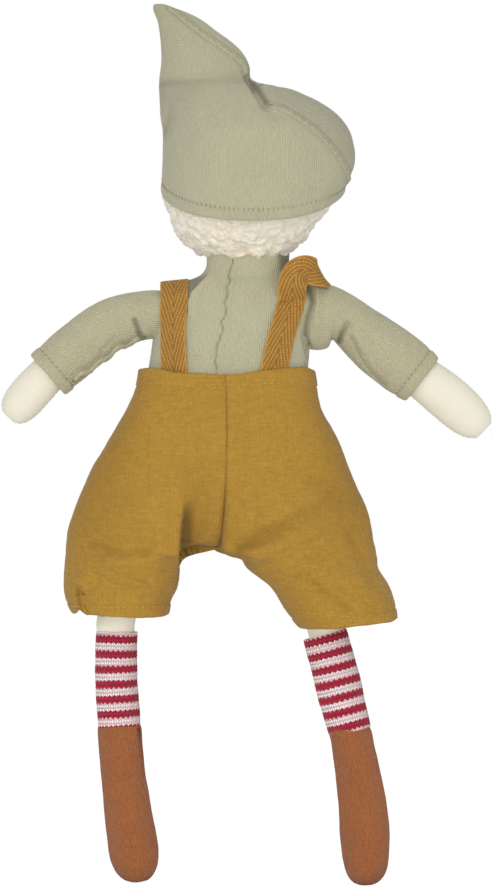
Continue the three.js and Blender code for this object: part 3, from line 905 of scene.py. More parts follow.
HAIR = [
    (-9.4, 0, 283.2, 16.5, 15.5, 0),
    (-8.4, 0, 286.2, 22.0, 20.5, 0),
    (-8.2, 0, 291.0, 27.8, 26.5, 0),
    (-8.6, 0, 297.0, 31.8, 30.6, 0),
    (-10.0, 0, 304.0, 35.4, 34.0, 0),
    (-11.0, 0, 310.5, 38.6, 35.6, 0),
    (-13.0, 0, 317.0, 40.0, 36.6, 0),
    (-14.5, 0, 328.0, 41.0, 37.0, 0),
    (-14.8, 0, 340.0, 37.0, 33.0, 0),
]
HEAD = [
    (-9.2, 0, 290.0, 9.5, 9.0, 0),
    (-9.0, 0, 292.0, 16.0, 15.0, 0),
    (-9.0, 0, 296.0, 24.0, 22.8, 0),
    (-10.2, 0, 303.0, 31.5, 29.6, 0),
    (-12, 0, 313.0, 34.8, 32.0, 0),
    (-13, 0, 323.0, 35.3, 31.8, 0),
    (-14, 0, 334.0, 32.0, 28.5, 0),
    (-15, 0, 344.0, 23.0, 20.5, 0),
    (-15.6, 0, 349.0, 13.0, 11.5, 0),
]
NECK = [
    (-9, 0, 275.0, 9.4, 9.4, 0),
    (-9, 0, 280.0, 10.4, 10.4, 0),
    (-9, 0, 289.0, 10.6, 10.6, 0),
    (-9, 0, 297.0, 10.4, 10.4, 0),
]
TORSO = [
    (0, 0, 184.0, 26.0, 13.0, 0),
    (0, 0, 188.0, 30.0, 15.5, 0),
    (-0.5, 0, 213.0, 33.0, 17.5, 0),
    (-1, 0, 229.0, 33.6, 17.5, 0),
    (-2.5, 0, 242.0, 33.0, 17.0, 0),
    (-3.5, 0, 256.0, 32.5, 16.0, 0),
    (-4.5, 0, 265.0, 26.5, 12.6, 0),
    (-8.5, 0, 269.5, 15.0, 10.4, 0),
]
SHIRT = [
    (-0.3, 0, 206.0, 35.0, 19.4, 0),
    (-0.6, 0, 218.0, 35.6, 19.8, 0),
    (-1.2, 0, 230.0, 36.0, 19.8, 0),
    (-2.5, 0, 242.0, 35.6, 19.6, 0),
    (-3.4, 0, 252.0, 35.2, 19.0, 0),
    (-3.6, 0, 261.0, 34.2, 17.8, 0),
    (-4.2, 0, 267.0, 31.0, 16.6, 0),
    (-6.2, 0, 271.5, 25.4, 15.6, 0),
    (-8.8, 0, 274.6, 20.4, 15.0, 0),
    (-10.0, 0, 278.0, 18.8, 14.6, 0),
    (-10.2, 0, 282.0, 18.5, 14.4, 0),
    (-10.3, 0, 285.0, 18.6, 14.4, 0),
]
SLEEVES = {
    "left": [
        (26.0, 0, 257.0, 10.6, 10.6),
        (33.0, 0, 257.2, 11.0, 11.2),
        (41.5, 0, 256.0, 11.3, 11.4),
        (49.6, 0, 253.2, 11.7, 11.4),
        (57.6, 0, 248.6, 12.0, 11.4),
        (65.6, 0, 242.4, 12.1, 11.2),
        (73.0, 0, 236.0, 12.0, 11.0),
        (79.3, 0, 230.4, 11.6, 10.8),
    ],
    "right": [
        (-33.0, 0, 256.0, 13.5, 11.5),
        (-40.5, 0, 256.4, 15.4, 12.4),
        (-46.6, 0, 256.6, 14.2, 12.4),
        (-52.2, 0, 256.2, 11.2, 11.8),
        (-57.6, 0, 252.4, 11.2, 11.8),
        (-67.2, 0, 244.4, 13.1, 11.8),
        (-74.6, 0, 238.8, 13.5, 11.6),
        (-82.0, 0, 233.2, 13.3, 11.3),
        (-88.4, 0, 228.2, 12.0, 11.0),
    ],
}
ARMS = {
    "left": [
        (32.0, 0, 256.6, 6.4, 6.6),
        (41.0, 0, 255.6, 7.6, 7.6),
        (50.0, 0, 252.3, 8.2, 8.0),
        (65.0, 0, 242.8, 8.6, 8.4),
        (75.6, 0, 234.2, 8.5, 8.0),
        (82.0, 0, 228.0, 9.0, 7.9),
        (87.4, 0, 222.2, 9.2, 7.7),
        (91.2, 0, 217.8, 9.0, 7.3),
        (94.0, 0, 214.6, 8.0, 6.4),
        (96.0, 0, 212.4, 6.4, 4.9),
        (97.4, 0, 210.9, 3.8, 2.9),
    ],
    "right": [
        (-40.0, 0, 256.6, 6.4, 6.4),
        (-48.0, 0, 256.2, 7.4, 7.4),
        (-57.0, 0, 252.6, 8.0, 8.0),
        (-71.0, 0, 243.0, 9.2, 8.4),
        (-82.6, 0, 233.4, 9.6, 8.4),
        (-91.4, 0, 226.7, 10.0, 8.4),
        (-99.6, 0, 220.2, 10.5, 8.3),
        (-106.4, 0, 214.3, 10.3, 8.0),
        (-111.2, 0, 210.0, 9.3, 7.2),
        (-114.6, 0, 206.9, 7.4, 5.8),
        (-116.8, 0, 204.9, 4.6, 3.6),
    ],
}
# Middle, height, half width outwards, half width inwards, half depth
TROUSERS = {
    "left": [
        (-0.2, 230.6, 39.0, 3.6, 22.8),
        (-0.4, 226.0, 39.9, 3.6, 23.2),
        (-0.7, 220.5, 42.4, 3.6, 23.6),
        (-0.9, 213.0, 46.2, 3.6, 24.0),
        (-1.0, 204.0, 51.7, 3.6, 24.4),
        (-0.4, 193.5, 57.2, 4.0, 24.8),
        (1.4, 183.0, 60.8, 5.4, 25.4),
        (4.4, 172.0, 62.2, 8.0, 26.0),
        (9.0, 161.5, 61.2, 12.0, 26.6),
        (13.0, 155.5, 58.2, 14.0, 26.8),
        (17.0, 152.0, 54.6, 14.4, 26.8),
        (24.0, 149.8, 47.7, 13.0, 26.7),
        (33.4, 147.4, 38.6, 15.6, 26.6),
        (40.4, 143.6, 31.9, 20.2, 26.4),
        (46.0, 139.0, 26.4, 24.8, 26.6),
        (47.3, 134.0, 25.1, 24.9, 26.8),
        (48.0, 128.7, 23.6, 23.4, 27.0),
        (47.0, 123.0, 21.8, 21.6, 26.8),
    ],
    "right": [
        (-0.2, 230.6, 40.2, 3.6, 22.8),
        (-0.4, 226.0, 40.8, 3.6, 23.2),
        (-0.7, 220.5, 41.4, 3.6, 23.6),
        (-0.9, 213.0, 43.4, 3.6, 24.0),
        (-1.0, 204.0, 48.0, 3.6, 24.4),
        (-1.2, 193.5, 53.0, 4.0, 24.8),
        (-2.4, 183.0, 55.8, 5.4, 25.4),
        (-4.0, 172.0, 59.2, 7.8, 26.0),
        (-6.6, 161.5, 59.6, 12.0, 26.6),
        (-9.6, 155.5, 57.4, 14.8, 26.8),
        (-13.0, 152.0, 55.0, 18.6, 26.8),
        (-18.4, 149.6, 50.0, 20.0, 26.7),
        (-26.0, 147.4, 43.0, 19.0, 26.6),
        (-38.0, 143.0, 31.4, 28.2, 26.5),
        (-46.0, 136.0, 27.8, 27.0, 26.6),
        (-49.6, 130.4, 26.1, 25.4, 26.8),
        (-52.2, 125.6, 24.6, 24.2, 27.0),
        (-55.4, 118.9, 22.1, 21.6, 26.8),
    ],
}
LEGS = {
    "left": [
        (19.0, 0, 188.0, 9.0, 9.0, 0),
        (20.0, 0, 182.0, 12.6, 12.0, 0),
        (22.5, 0, 168.0, 13.4, 12.8, 0),
        (36.0, 0, 144.0, 10.5, 10.5, 0),
        (46.5, 0, 127.0, 9.0, 8.9, 0),
        (49.2, 0, 119.0, 8.7, 8.6, 0),
        (49.0, 0, 110.0, 8.3, 8.3, 0),
        (48.2, 0, 92.0, 8.3, 8.3, 0),
        (47.2, 0, 71.0, 8.3, 8.3, 0),
    ],
    "right": [
        (-19.0, 0, 188.0, 9.0, 9.0, 0),
        (-20.0, 0, 182.0, 12.6, 12.0, 0),
        (-22.5, 0, 168.0, 13.4, 12.8, 0),
        (-34.0, 0, 144.0, 10.5, 10.5, 0),
        (-43.0, 0, 126.0, 9.0, 8.9, 0),
        (-45.4, 0, 116.0, 8.6, 8.5, 0),
        (-47.2, 0, 108.0, 8.3, 8.3, 0),
        (-51.0, 0, 91.0, 8.3, 8.3, 0),
        (-55.4, 0, 72.0, 8.3, 8.3, 0),
    ],
}
SOCKS = {
    "left": [
        (48.8, 0, 114.4, 9.3, 9.5),
        (49.0, 0, 106.0, 9.4, 9.5),
        (49.0, 0, 97.0, 9.4, 9.5),
        (48.6, 0, 88.0, 9.4, 9.6),
        (48.0, 0, 79.0, 9.5, 9.6),
        (47.5, 0, 70.0, 9.5, 9.6),
    ],
    "right": [
        (-45.0, 0, 113.0, 10.0, 9.9),
        (-47.2, 0, 105.0, 10.1, 9.8),
        (-49.3, 0, 97.0, 10.2, 9.8),
        (-51.5, 0, 88.0, 10.3, 9.8),
        (-53.9, 0, 79.0, 9.9, 9.7),
        (-56.3, 0, 69.6, 9.5, 9.6),
    ],
}
BOOTS = {
    "left": [
        (47.4, 0, 74.0, 8.4, 8.6, 0),
        (47.4, 0, 70.8, 9.9, 10.0, 0),
        (47.0, 0, 64.0, 9.9, 10.2, 0),
        (45.6, 0, 48.0, 10.2, 10.8, 0),
        (43.5, -1.0, 32.0, 10.9, 12.0, 0),
        (41.8, -3.0, 21.0, 11.3, 13.8, 0),
        (41.0, -4.8, 12.0, 11.1, 15.2, 0),
        (40.4, -5.4, 6.0, 8.8, 14.6, 0),
        (40.0, -5.4, 2.6, 5.6, 12.0, 0),
        (40.0, -5.4, 1.6, 2.8, 8.0, 0),
    ],
    "right": [
        (-55.6, 0, 73.0, 8.4, 8.6, 0),
        (-56.2, 0, 69.8, 9.9, 10.0, 0),
        (-57.4, 0, 64.0, 9.8, 10.2, 0),
        (-60.4, 0, 48.0, 10.5, 10.8, 0),
        (-62.4, -1.0, 32.0, 11.2, 12.0, 0),
        (-63.1, -3.0, 19.0, 11.1, 13.8, 0),
        (-63.4, -4.8, 10.0, 10.2, 15.2, 0),
        (-63.5, -5.4, 4.8, 8.7, 14.4, 0),
        (-63.3, -5.4, 1.6, 6.0, 11.6, 0),
        (-63.2, -5.4, 0.4, 3.2, 7.6, 0),
    ],
}


# Seams and creases seen on the back, as runs of (x, height)
BACK_SEAM = [(-2.7, 284.4), (-3.6, 280.8), (-2.1, 276.1), (-1.5, 274.2), (-2.4, 271.9), (-0.6, 268.6)]
BACK_SEAM += [(-1.4, 265.2), (0.2, 262.2), (-0.6, 258.4), (0.2, 255.5), (1.7, 253.6), (0.8, 250.6)]
BACK_SEAM += [(1.9, 247.2), (3.2, 243.8), (3.4, 241.5), (3.7, 237.4), (4.7, 235.6), (3.6, 233.3), (3.4, 222)]
SHOULDER_FOLD = [(7.6, 274.4), (11.2, 270.6), (15.0, 266.6), (16.2, 262.6), (16.2, 257.5)]
ARMHOLE = [(-36.9, 269.6), (-38.7, 266.0), (-39.2, 262.4), (-37.4, 257.4), (-36.0, 250.2), (-36.0, 245.7)]
ARMHOLE += [(-37.4, 241.2), (-37.8, 239.0)]
ARMPIT = [(-55.0, 253.0), (-53.4, 250.4), (-51.8, 247.6), (-51.2, 245.0)]
SEAT_SEAM = [(0.0, 230), (-0.6, 224.5), (-0.9, 210), (-0.9, 191.7), (-0.4, 181), (0.3, 172)]
SEAT_SEAM += [(1.3, 160), (1.8, 153.9)]
SEAT_FOLD = [(18.0, 172.0), (18.9, 165.0), (19.8, 156.0), (19.9, 148.0)]
WAIST = [(-41, 1.0), (-35.5, 2.5), (-29, 2.0), (-16, 0.7), (-7, -0.8), (0, -1.2), (15, -0.5), (20, -0.2)]
WAIST += [(34, 2.0), (41, 1.5)]
PEAK_SEAM = [(24.5, 395.0), (17.6, 389.2), (9.0, 382.3), (0.4, 376.6), (-6.0, 372.0)]
PEAK_SEAM += [(-9.0, 368.6), (-9.8, 364.8)]
CROWN_SEAM = [(-18.9, 350.4), (-24.8, 348.8), (-31.6, 345), (-38.4, 340.6), (-45, 334.4), (-50.8, 327.8)]
CROWN_SEAM += [(-54.6, 321.8), (-56.2, 317.0), (-56.4, 312.0)]
CROWN_FOLD = [(-11.8, 362.6), (-15.2, 356.4), (-18.4, 350.6)]
LEFT_FOLD = [(27.9, 336.6), (25.4, 342.5), (24.2, 349.6)]


def hat_points(row, count):
    """A ring of the cap; the low rings slope down towards the back, as its hem does."""
    share = 1 - ease(row[2], 313.0, 338.0)
    points = ring_points(row, count, 0.97)
    for point in points:
        deep = point.y / MM - MIDDLE_Y
        point.z -= deep * sin(radians(HAT_SLOPE)) / cos(radians(HAT_SLOPE)) * share * MM
    return points


def hat_move(here, normal):
    x, y, z = here
    out = wobble(here, 21, 3.1) * 0.7 + wobble(here, 9, 1.7) * 0.2
    back = ease(y, -2, 6)
    gap, share = to_line(x, z, PEAK_SEAM)
    ridge = 0.6 * bell(gap, 1.1) - 0.4 * bell(gap - 1.7, 1.2)
    gap, share = to_line(x, z, CROWN_SEAM)
    ridge += 0.5 * bell(gap, 1.2) - 0.4 * bell(gap - 1.7, 1.3)
    if gap > 1.0 and beyond(x, z):
        ridge -= 0.9 * ease(gap, 0.5, 3.0) * ease(share, 0.0, 0.12)
    gap, share = to_line(x, z, CROWN_FOLD)
    dent = -5.2 * bell(gap, 3.6) * (1 - 0.5 * share)
    gap, share = to_line(x, z, [(-18.4, 350.6), (-22.5, 346.4)])
    dent -= 1.4 * bell(gap, 5.0)
    gap, share = to_line(x, z, LEFT_FOLD)
    dent -= 1.6 * bell(gap, 3.4) * (1 - 0.6 * share)
    hem = 0.35 * bell(z - hat_hem(y) - 4.5, 0.9) * -1
    out += back * (ridge + dent) + hem + 0.5 * ease(z - hat_hem(y), 3.6, 1.5)
    return normal * out


def hat_hem(y):
    """Height of the cap's edge at a depth."""
    return 313.0 - y * sin(radians(HAT_SLOPE)) / cos(radians(HAT_SLOPE))


# Painted shade in the cap's folds and beside its seam ridges; the panel past the crown seam is also painted a
# little darker.
def hat_painted_shade(here):
    x, y, z = here
    if y < 0:
        return 0.0
    gap, share = to_line(x, z, CROWN_FOLD)
    mark = 1.8 * bell(gap, 2.0) * (1 - 0.5 * share)
    gap, share = to_line(x, z, PEAK_SEAM)
    mark += 0.3 * bell(gap - 1.5, 0.9)
    gap, share = to_line(x, z, CROWN_SEAM)
    mark += 0.3 * bell(gap - 1.4, 0.9)
    if gap > 1.0 and beyond(x, z):
        mark += 0.1
    gap, share = to_line(x, z, LEFT_FOLD)
    return mark + 0.5 * bell(gap, 1.8) * (1 - 0.6 * share)


def beyond(x, z):
    """Whether a place is on the front panel, past the crown's seam."""
    for (ax, az), (bx, bz) in zip(CROWN_SEAM, CROWN_SEAM[1:]):
        if min(az, bz) <= z <= max(az, bz):
            t = (z - az) / (bz - az)
            return x < ax + (bx - ax) * t
    return z > CROWN_SEAM[0][1] and x < CROWN_SEAM[0][0]


class DOLL_OT_hat(bpy.types.Operator):
    """Makes the pointed cap with its bent point, seams and stitched edge"""

    bl_idname = "doll.hat"
    bl_label = "Pointed cap"

    def execute(self, context):
        hat = tube("hat", HAT, 64, 56, close="end", ring=hat_points)
        turn_in(hat, 0.0, 1.5, 9.0)
        refine(hat)
        self.ease_bend(hat)
        refine(hat)
        sculpt(hat, hat_move)
        marks(hat, hat_painted_shade)
        dress(hat, "cap", "jersey", "hat_crown", "hat_peak")
        trees = surface_of(hat)
        low, high = ([self.inward(t / 143, lift) for t in range(900)] for lift in (4.0, 5.5))
        row = ladder("hat_stitches", trees, low, high, 0.0021, radius=0.00016)
        dress(row, "shirt thread", "thread")
        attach(row, "head")
        crown = self.seam("crown_seam_line", trees, CROWN_SEAM)
        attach(crown, "head")
        peak = self.seam("peak_seam_line", trees, PEAK_SEAM)
        for piece in (hat, peak):
            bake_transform(piece, "head", "hat_peak", place(9.7, 0, 362), place(9.7, 0, 380))
        return {"FINISHED"}

    def seam(self, name, trees, points):
        """The thread along one of the cap's seams."""
        line = topstitch(name, trees, rays_along(points), 0.0036, 0.00365, radius=0.00017, sink=0.8)
        return dress(line, "shirt thread", "thread")

    def ease_bend(self, hat):
        """Evens the cloth where the cap narrows into its point, away from the fold."""
        group = hat.vertex_groups.new(name="bend")
        for vert in hat.data.vertices:
            x, z = vert.co.x / MM - MIDDLE_X, vert.co.z / MM
            share = ease(x, -5, 3) * ease(z, 345, 353) * ease(z, 379, 371)
            group.add([vert.index], share, "REPLACE")
        modify(hat, "SMOOTH", factor=0.5, iterations=60, vertex_group=group.name)

    def inward(self, turn, lift):
        """A ray towards the cap's middle, at a height above its edge."""
        z = hat_hem(40 * sin(turn)) + lift
        start = place(-12.1 + 60 * cos(turn), 60 * sin(turn), z)
        return start, (place(-12.1, 0, z) - start).normalized()


def in_window(here):
    """1 in the part of the hair that is cut away for the face, and 0 well outside it."""
    x, y, z = here
    far = (((x + 11.5) / 25.0) ** 2 + ((y + 40) / 34.0) ** 2 + ((z - 306) / 21.0) ** 2) ** 0.5
    return 1 - ease(far, 0.86, 1.08)


def hair_move(here, normal):
    if here.z > 330:
        return normal * 0.0
    inside = in_window(here)
    curl = sizes().curl / MM
    swirl = Vector((wobble(here, 6, 5.0), wobble(here, 6, 8.0), wobble(here, 6, 2.0))) * 2.4
    spot = here + swirl
    near = noise.voronoi(spot / 4.6)[0]
    tuft = 1 - min(near[0] / 0.75, 1.0) ** 2
    fine = 1 - min(noise.voronoi(spot / 2.1)[0][0] / 0.6, 1.0)
    rise = curl * (0.8 * tuft + 0.3 * fine - 0.4)
    low = 1 - ease(here.z, 284, 292)
    droop = -low * 1.6 * max(wobble(here, 8, 4.4) + 0.2, 0)
    return normal * (rise * (1 - inside) - 6.0 * inside) + Vector((0, 0, droop))


# Painted shade in the hollows between the curls and under the hair's lower edge.
def hair_painted_shade(here):
    swirl = Vector((wobble(here, 6, 5.0), wobble(here, 6, 8.0), wobble(here, 6, 2.0))) * 2.4
    near = noise.voronoi((here + swirl) / 4.6)[0]
    return 0.62 * ease(near[0], 0.3, 0.8) + 0.3 * (1 - ease(here.z, 283, 289))


class DOLL_OT_hair(bpy.types.Operator):
    """Makes the curly fleece hair"""

    bl_idname = "doll.hair"
    bl_label = "Fleece hair"

    def execute(self, context):
        hair = tube("hair_fleece", HAIR, 110, 54, close="none")
        turn_in(hair, 0.0, 6.0, 4.0)
        refine(hair)
        base = [v.co.copy() for v in hair.data.vertices]
        hair_shade_marks = hair.data.attributes.new("painted_shade", "FLOAT", "POINT")
        # Painted shade at each point, taken before the curls are sculpted.
        depth = []
        for co in base:
            here = Vector((co.x / MM - MIDDLE_X, co.y / MM - MIDDLE_Y, co.z / MM))
            depth.append(hair_painted_shade(here) if here.z < 330 else 0.0)
        hair_shade_marks.data.foreach_set("value", depth)
        sculpt(hair, hair_move)
        dress(hair, "fleece", "fleece", "hair")
        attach(hair, "head")
        return {"FINISHED"}


class DOLL_OT_head(bpy.types.Operator):
    """Makes the stuffed head with its plain embroidered face, and the neck"""

    bl_idname = "doll.head"
    bl_label = "Head and neck"

    def execute(self, context):
        neck = tube("neck_cover", NECK, 28, 12, close="both")
        refine(neck)
        finish_points(neck)
        dress(neck, "cotton", "cotton", "neck")
        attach(neck, "neck")
        head = tube("head_cover", HEAD, 40, 26)
        stuff(head, 0.8)
        refine(head)
        sculpt(head, head_move)
        finish_points(head)
        dress(head, "cotton", "cotton", "head")
        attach(head, "head")
        trees = surface_of(head)
        self.eye(trees, "eye_left_stitches", "eye_left", 1)
        self.eye(trees, "eye_right_stitches", "eye_right", -1)
        spots = []
        for n in range(7):
            x = -11.5 + (n - 3) * 0.45
            half = 1.0 - 0.09 * (n - 3) ** 2
            spots.append(self.stitch(trees, (x, 303.8 - half), (x, 303.8 + half)))
        nose = stitches("nose_stitches", spots, radius=0.00035)
        dress(nose, "mouth thread", "thread", "nose")
        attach(nose, "head")
        places = [(-11.5 + 0.8 * (n - 4.5), 297.6 + 0.055 * (n - 4.5) ** 2) for n in range(10)]
        spots = [self.stitch(trees, a, b) for a, b in zip(places, places[1:])]
        mouth = stitches("mouth_stitches", spots, radius=0.00034)
        dress(mouth, "mouth thread", "thread", "mouth")
        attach(mouth, "head")
        return {"FINISHED"}

    def stitch(self, trees, start, end):
        ends = []
        for x, z in (start, end):
            hit = meet(trees, place(x, -90, z), Vector((0, 1, 0)))
            if not hit:
                raise RuntimeError("the face's stitches miss the head")
            ends.append(hit)
        return ends[0][0], ends[1][0], (ends[0][1] + ends[1][1]) / 2

    def eye(self, trees, name, node, side):
        """A small upright oval in satin stitch."""
        spots = []
        for n in range(11):
            x = -11.5 + side * 11 + (n - 5) * 0.3
            half = 2.1 * (1 - ((n - 5) / 5.6) ** 2) ** 0.5
            spots.append(self.stitch(trees, (x, 311 - half), (x, 311 + half)))
        eye = stitches(name, spots, radius=0.0003)
        dress(eye, "thread", "thread", node)
        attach(eye, "head")


def head_move(here, normal):
    """Round cheeks and a small nose under the cotton."""
    x, y, z = here
    if y > -8:
        return normal * 0.0
    cheeks = sum(bell(((x + 11.5 - s * 13) ** 2 + (z - 299.5) ** 2) ** 0.5, 12) for s in (-1, 1))
    nose = bell(((x + 11.5) ** 2 + (z - 304.2) ** 2) ** 0.5, 4.2)
    return normal * (1.1 * cheeks + 1.9 * nose + 0.2 * wobble(here, 9))


class DOLL_OT_torso(bpy.types.Operator):
    """Makes the stuffed body inside the shirt"""

    bl_idname = "doll.torso"
    bl_label = "Stuffed body"

    def execute(self, context):
        torso = tube("torso_cover", TORSO, 36, 22, bulge=0.85)
        stuff(torso, 0.5)
        finish_points(torso)
        dress(torso, "cotton", "cotton", "torso")
        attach(torso, "torso")
        return {"FINISHED"}


def shirt_move(here, normal):
    x, y, z = here
    out = 0.45 * wobble(here, 14, 2.2) + 0.15 * wobble(here, 6, 6.1)
    if y > 0:
        gap, share = to_line(x, z, BACK_SEAM)
        side = side_of(x, z, BACK_SEAM)
        wave = 0.5 + 0.35 * wobble((x, z, 0), 2.6, 7.7)
        out += wave * bell(gap - 1.0, 0.9) - 0.6 * bell(gap, 0.7)
        out -= 0.3 * bell(gap - 2.6, 1.5) * (1 if side < 0 else 0.3)
        gap, share = to_line(x, z, SHOULDER_FOLD)
        outer = ease(x - side_line(z, SHOULDER_FOLD), -0.2, 1.2) * ease(z, 277, 273)
        out -= 1.8 * outer * ease(z, 255.5, 260) * ease(y, 2, 7)
        out += 0.9 * bell(gap + 2.2 * outer, 2.4)
        gap, share = to_line(x, z, ARMHOLE)
        out -= 1.6 * bell(gap, 2.4)
        gap, share = to_line(x, z, [(-33.4, 255.2), (-35.4, 251.6), (-36.4, 249.6)])
        out -= 0.8 * bell(gap, 1.4)
    return normal * out


def side_of(x, z, points):
    """Negative to the right of a run of points in the photograph, and positive to its left."""
    for (ax, az), (bx, bz) in zip(points, points[1:]):
        if min(az, bz) <= z <= max(az, bz):
            t = (z - az) / ((bz - az) or 1)
            return x - (ax + (bx - ax) * t)
    return 1.0


# Painted shade along the back seam, outside the shoulder fold and in the fold by the armhole.
def shirt_painted_shade(here):
    x, y, z = here
    if y < 0:
        return 0.0
    gap, share = to_line(x, z, BACK_SEAM)
    mark = 0.3 * bell(gap, 0.7)
    gap, share = to_line(x, z, SHOULDER_FOLD)
    outer = ease(x - side_line(z, SHOULDER_FOLD), -0.2, 0.9) * ease(z, 277, 273)
    mark += 0.9 * outer * ease(z, 255.5, 259)
    gap, share = to_line(x, z, [(-33.4, 255.2), (-35.4, 251.6), (-36.4, 249.6)])
    mark += 0.6 * bell(gap, 1.0)
    # A painted shadow beside the neck, between the hair and the right brace's loop.
    gap, share = to_line(x, z, [(-26.5, 283.5), (-27.5, 276.5), (-29.0, 271.5)])
    return mark + 1.15 * bell(gap, 4.6)


class DOLL_OT_shirt(bpy.types.Operator):
    """Makes the shirt's body with its wavy seam down the back"""

    bl_idname = "doll.shirt"
    bl_label = "Shirt"

    def execute(self, context):
        shirt = tube("shirt", SHIRT, 72, 52, bulge=0.86, close="none")
        turn_in(shirt, length_of(shirt), 2.0, 6.0)
        flip_if_inward(shirt)
        refine(shirt)
        refine(shirt)
        sculpt(shirt, shirt_move)
        marks(shirt, shirt_painted_shade)
        dress(shirt, "shirt", "jersey", "shirt_body", "shirt_collar")
        trees = surface_of(shirt)
        seam = topstitch("back_seam_line", trees, rays_along(BACK_SEAM, 0.1), 0.0007, 0.00105, radius=0.00013)
        dress(seam, "seam", "thread")
        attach(seam, "torso")
        end = topstitch("loose_end", trees, rays_along([(15.2, 238.2), (9.8, 238.6)], 0.2), 0.0048, 0.005)
        dress(end, "canvas thread", "thread")
        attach(end, "torso")
        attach(shirt, "torso")
        return {"FINISHED"}


def length_of(piece):
    """The greatest length along a piece."""
    return max(v.value for v in piece.data.attributes["length"].data)


def flip_if_inward(piece):
    """Turns the cloth over where its faces look at the middle of its own box."""
    middle = sum((v.co for v in piece.data.vertices), Vector()) / len(piece.data.vertices)
    looks = sum(f.normal.dot((f.center - middle).normalized()) * f.area for f in piece.data.polygons)
    if looks < 0:
        flip(piece)


UNDERARM = [(36.6, 246.4), (43.0, 243.8), (48.2, 241.6), (53.5, 237.4), (60, 232.6), (67, 228.2)]
LEFT_GATHERS = [(40.5, 254.5), (38.2, 248.0), (36.2, 245.0)]
RIGHT_FOLD = [(-56.5, 247), (-61, 238), (-66, 231), (-72, 225.6)]


def sleeve_left_move(here, normal):
    x, y, z = here
    out = 0.35 * wobble(here, 13, 9.3) + 0.1 * wobble(here, 5, 2.9)
    if y > 0:
        gap, share = to_line(x, z, LEFT_GATHERS)
        out -= 1.2 * bell(gap, 2.2)
        gap, share = to_line(x, z, [(37.5, 262), (36.8, 256), (34.5, 249)])
        out += 0.6 * bell(gap, 2.4)
        gap, share = to_line(x, z + 0.6 * sin(x * 0.75), UNDERARM)
        out += 0.8 * bell(gap, 1.1) - 0.7 * bell(gap - 1.7, 1.3)
        gap, share = to_line(x, z, [(49, 246), (55, 240.8)])
        out -= 0.7 * bell(gap, 2.0)
    return normal * out


# Painted shade in the gathers and beside the seam under the arm.
def sleeve_left_painted_shade(here):
    x, y, z = here
    if y < 0:
        return 0.0
    gap, share = to_line(x, z, LEFT_GATHERS)
    mark = 0.85 * bell(gap, 1.8)
    gap, share = to_line(x, z + 0.6 * sin(x * 0.75), UNDERARM)
    return mark + 0.6 * bell(gap - 1.4, 0.8)


def sleeve_right_move(here, normal):
    x, y, z = here
    out = 0.35 * wobble(here, 13, 4.3) + 0.1 * wobble(here, 5, 8.9)
    if y > 0:
        gap, share = to_line(x, z, ARMPIT)
        out -= 2.2 * bell(gap, 2.2) * (0.5 + 0.5 * share)
        gap, share = to_line(x, z, RIGHT_FOLD)
        out -= 0.7 * bell(gap, 1.7)
        gap, share = to_line(x, z, [(-57.8, 251), (-61.5, 241)])
        out += 0.5 * bell(gap, 2.0)
        gap, share = to_line(x, z, ARMHOLE)
        out -= 2.4 * bell(gap, 2.4)
        gap, share = to_line(x, z, [(-41.2, 269), (-40.8, 252)])
        out += 0.8 * bell(gap, 1.8)
        gap, share = to_line(x, z, [(-43.6, 267), (-43.4, 250)])
        out -= 0.5 * bell(gap, 1.4)
    return normal * out


# Painted shade at the armpit, the armhole and the fold down the sleeve.
def sleeve_right_painted_shade(here):
    x, y, z = here
    if y < 0:
        return 0.0
    gap, share = to_line(x, z, ARMPIT)
    mark = 1.2 * bell(gap, 1.6) * (0.35 + 0.65 * share)
    gap, share = to_line(x, z, ARMHOLE)
    mark += 0.75 * bell(gap, 1.6)
    gap, share = to_line(x, z, RIGHT_FOLD)
    return mark + 0.5 * bell(gap, 0.9)


class DOLL_OT_sleeves(bpy.types.Operator):
    """Makes both sleeves with their turned, stitched ends"""

    bl_idname = "doll.sleeves"
    bl_label = "Sleeves"

    def execute(self, context):
        moves = {
            "left": (sleeve_left_move, sleeve_left_painted_shade, place(27, 0, 258.5), place(41, 0, 254)),
            "right": (sleeve_right_move, sleeve_right_painted_shade, place(-34.5, 0, 258.5), place(-49, 0, 254)),
        }
        for side, (move, painted_shade, start, end) in moves.items():
            rows = leaning(SLEEVES[side])
            sleeve = tube("sleeve_" + side + "_cloth", rows, 40, 44, close="none")
            turn_in(sleeve, length_of(sleeve), 1.5, 7.0)
            flip_if_inward(sleeve)
            refine(sleeve)
            refine(sleeve)
            sculpt(sleeve, move)
            self.cuff(sleeve)
            marks(sleeve, painted_shade)
            dress(sleeve, "sleeve", "jersey", "sleeve_" + side, "cuff_" + side)
            last, before = rows[-1], rows[-2]
            part = 4.7 / ((last[0] - before[0]) ** 2 + (last[2] - before[2]) ** 2) ** 0.5
            row = [a + (b - a) * part for a, b in zip(last, before)]
            rays = rays_round(row, 500)
            sewn = topstitch(
                "sleeve_" + side + "_stitches", surface_of(sleeve), rays, 0.0011, 0.0024, radius=0.00018
            )
            dress(sewn, "shirt thread", "thread")
            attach(sewn, "arm_" + side)
            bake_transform(sleeve, "torso", "arm_" + side, start, end)
        return {"FINISHED"}

    def cuff(self, sleeve):
        """The turned end stands a little proud, with a groove where it is sewn."""
        lengths = [v.value for v in sleeve.data.attributes["length"].data]
        end = max(lengths)
        normals = [v.normal.copy() for v in sleeve.data.vertices]
        for vert, normal, length in zip(sleeve.data.vertices, normals, lengths):
            from_end = (end - length) / MM
            vert.co += normal * (0.5 * ease(from_end, 5.2, 3.8) - 0.35 * bell(from_end - 4.7, 0.9)) * MM


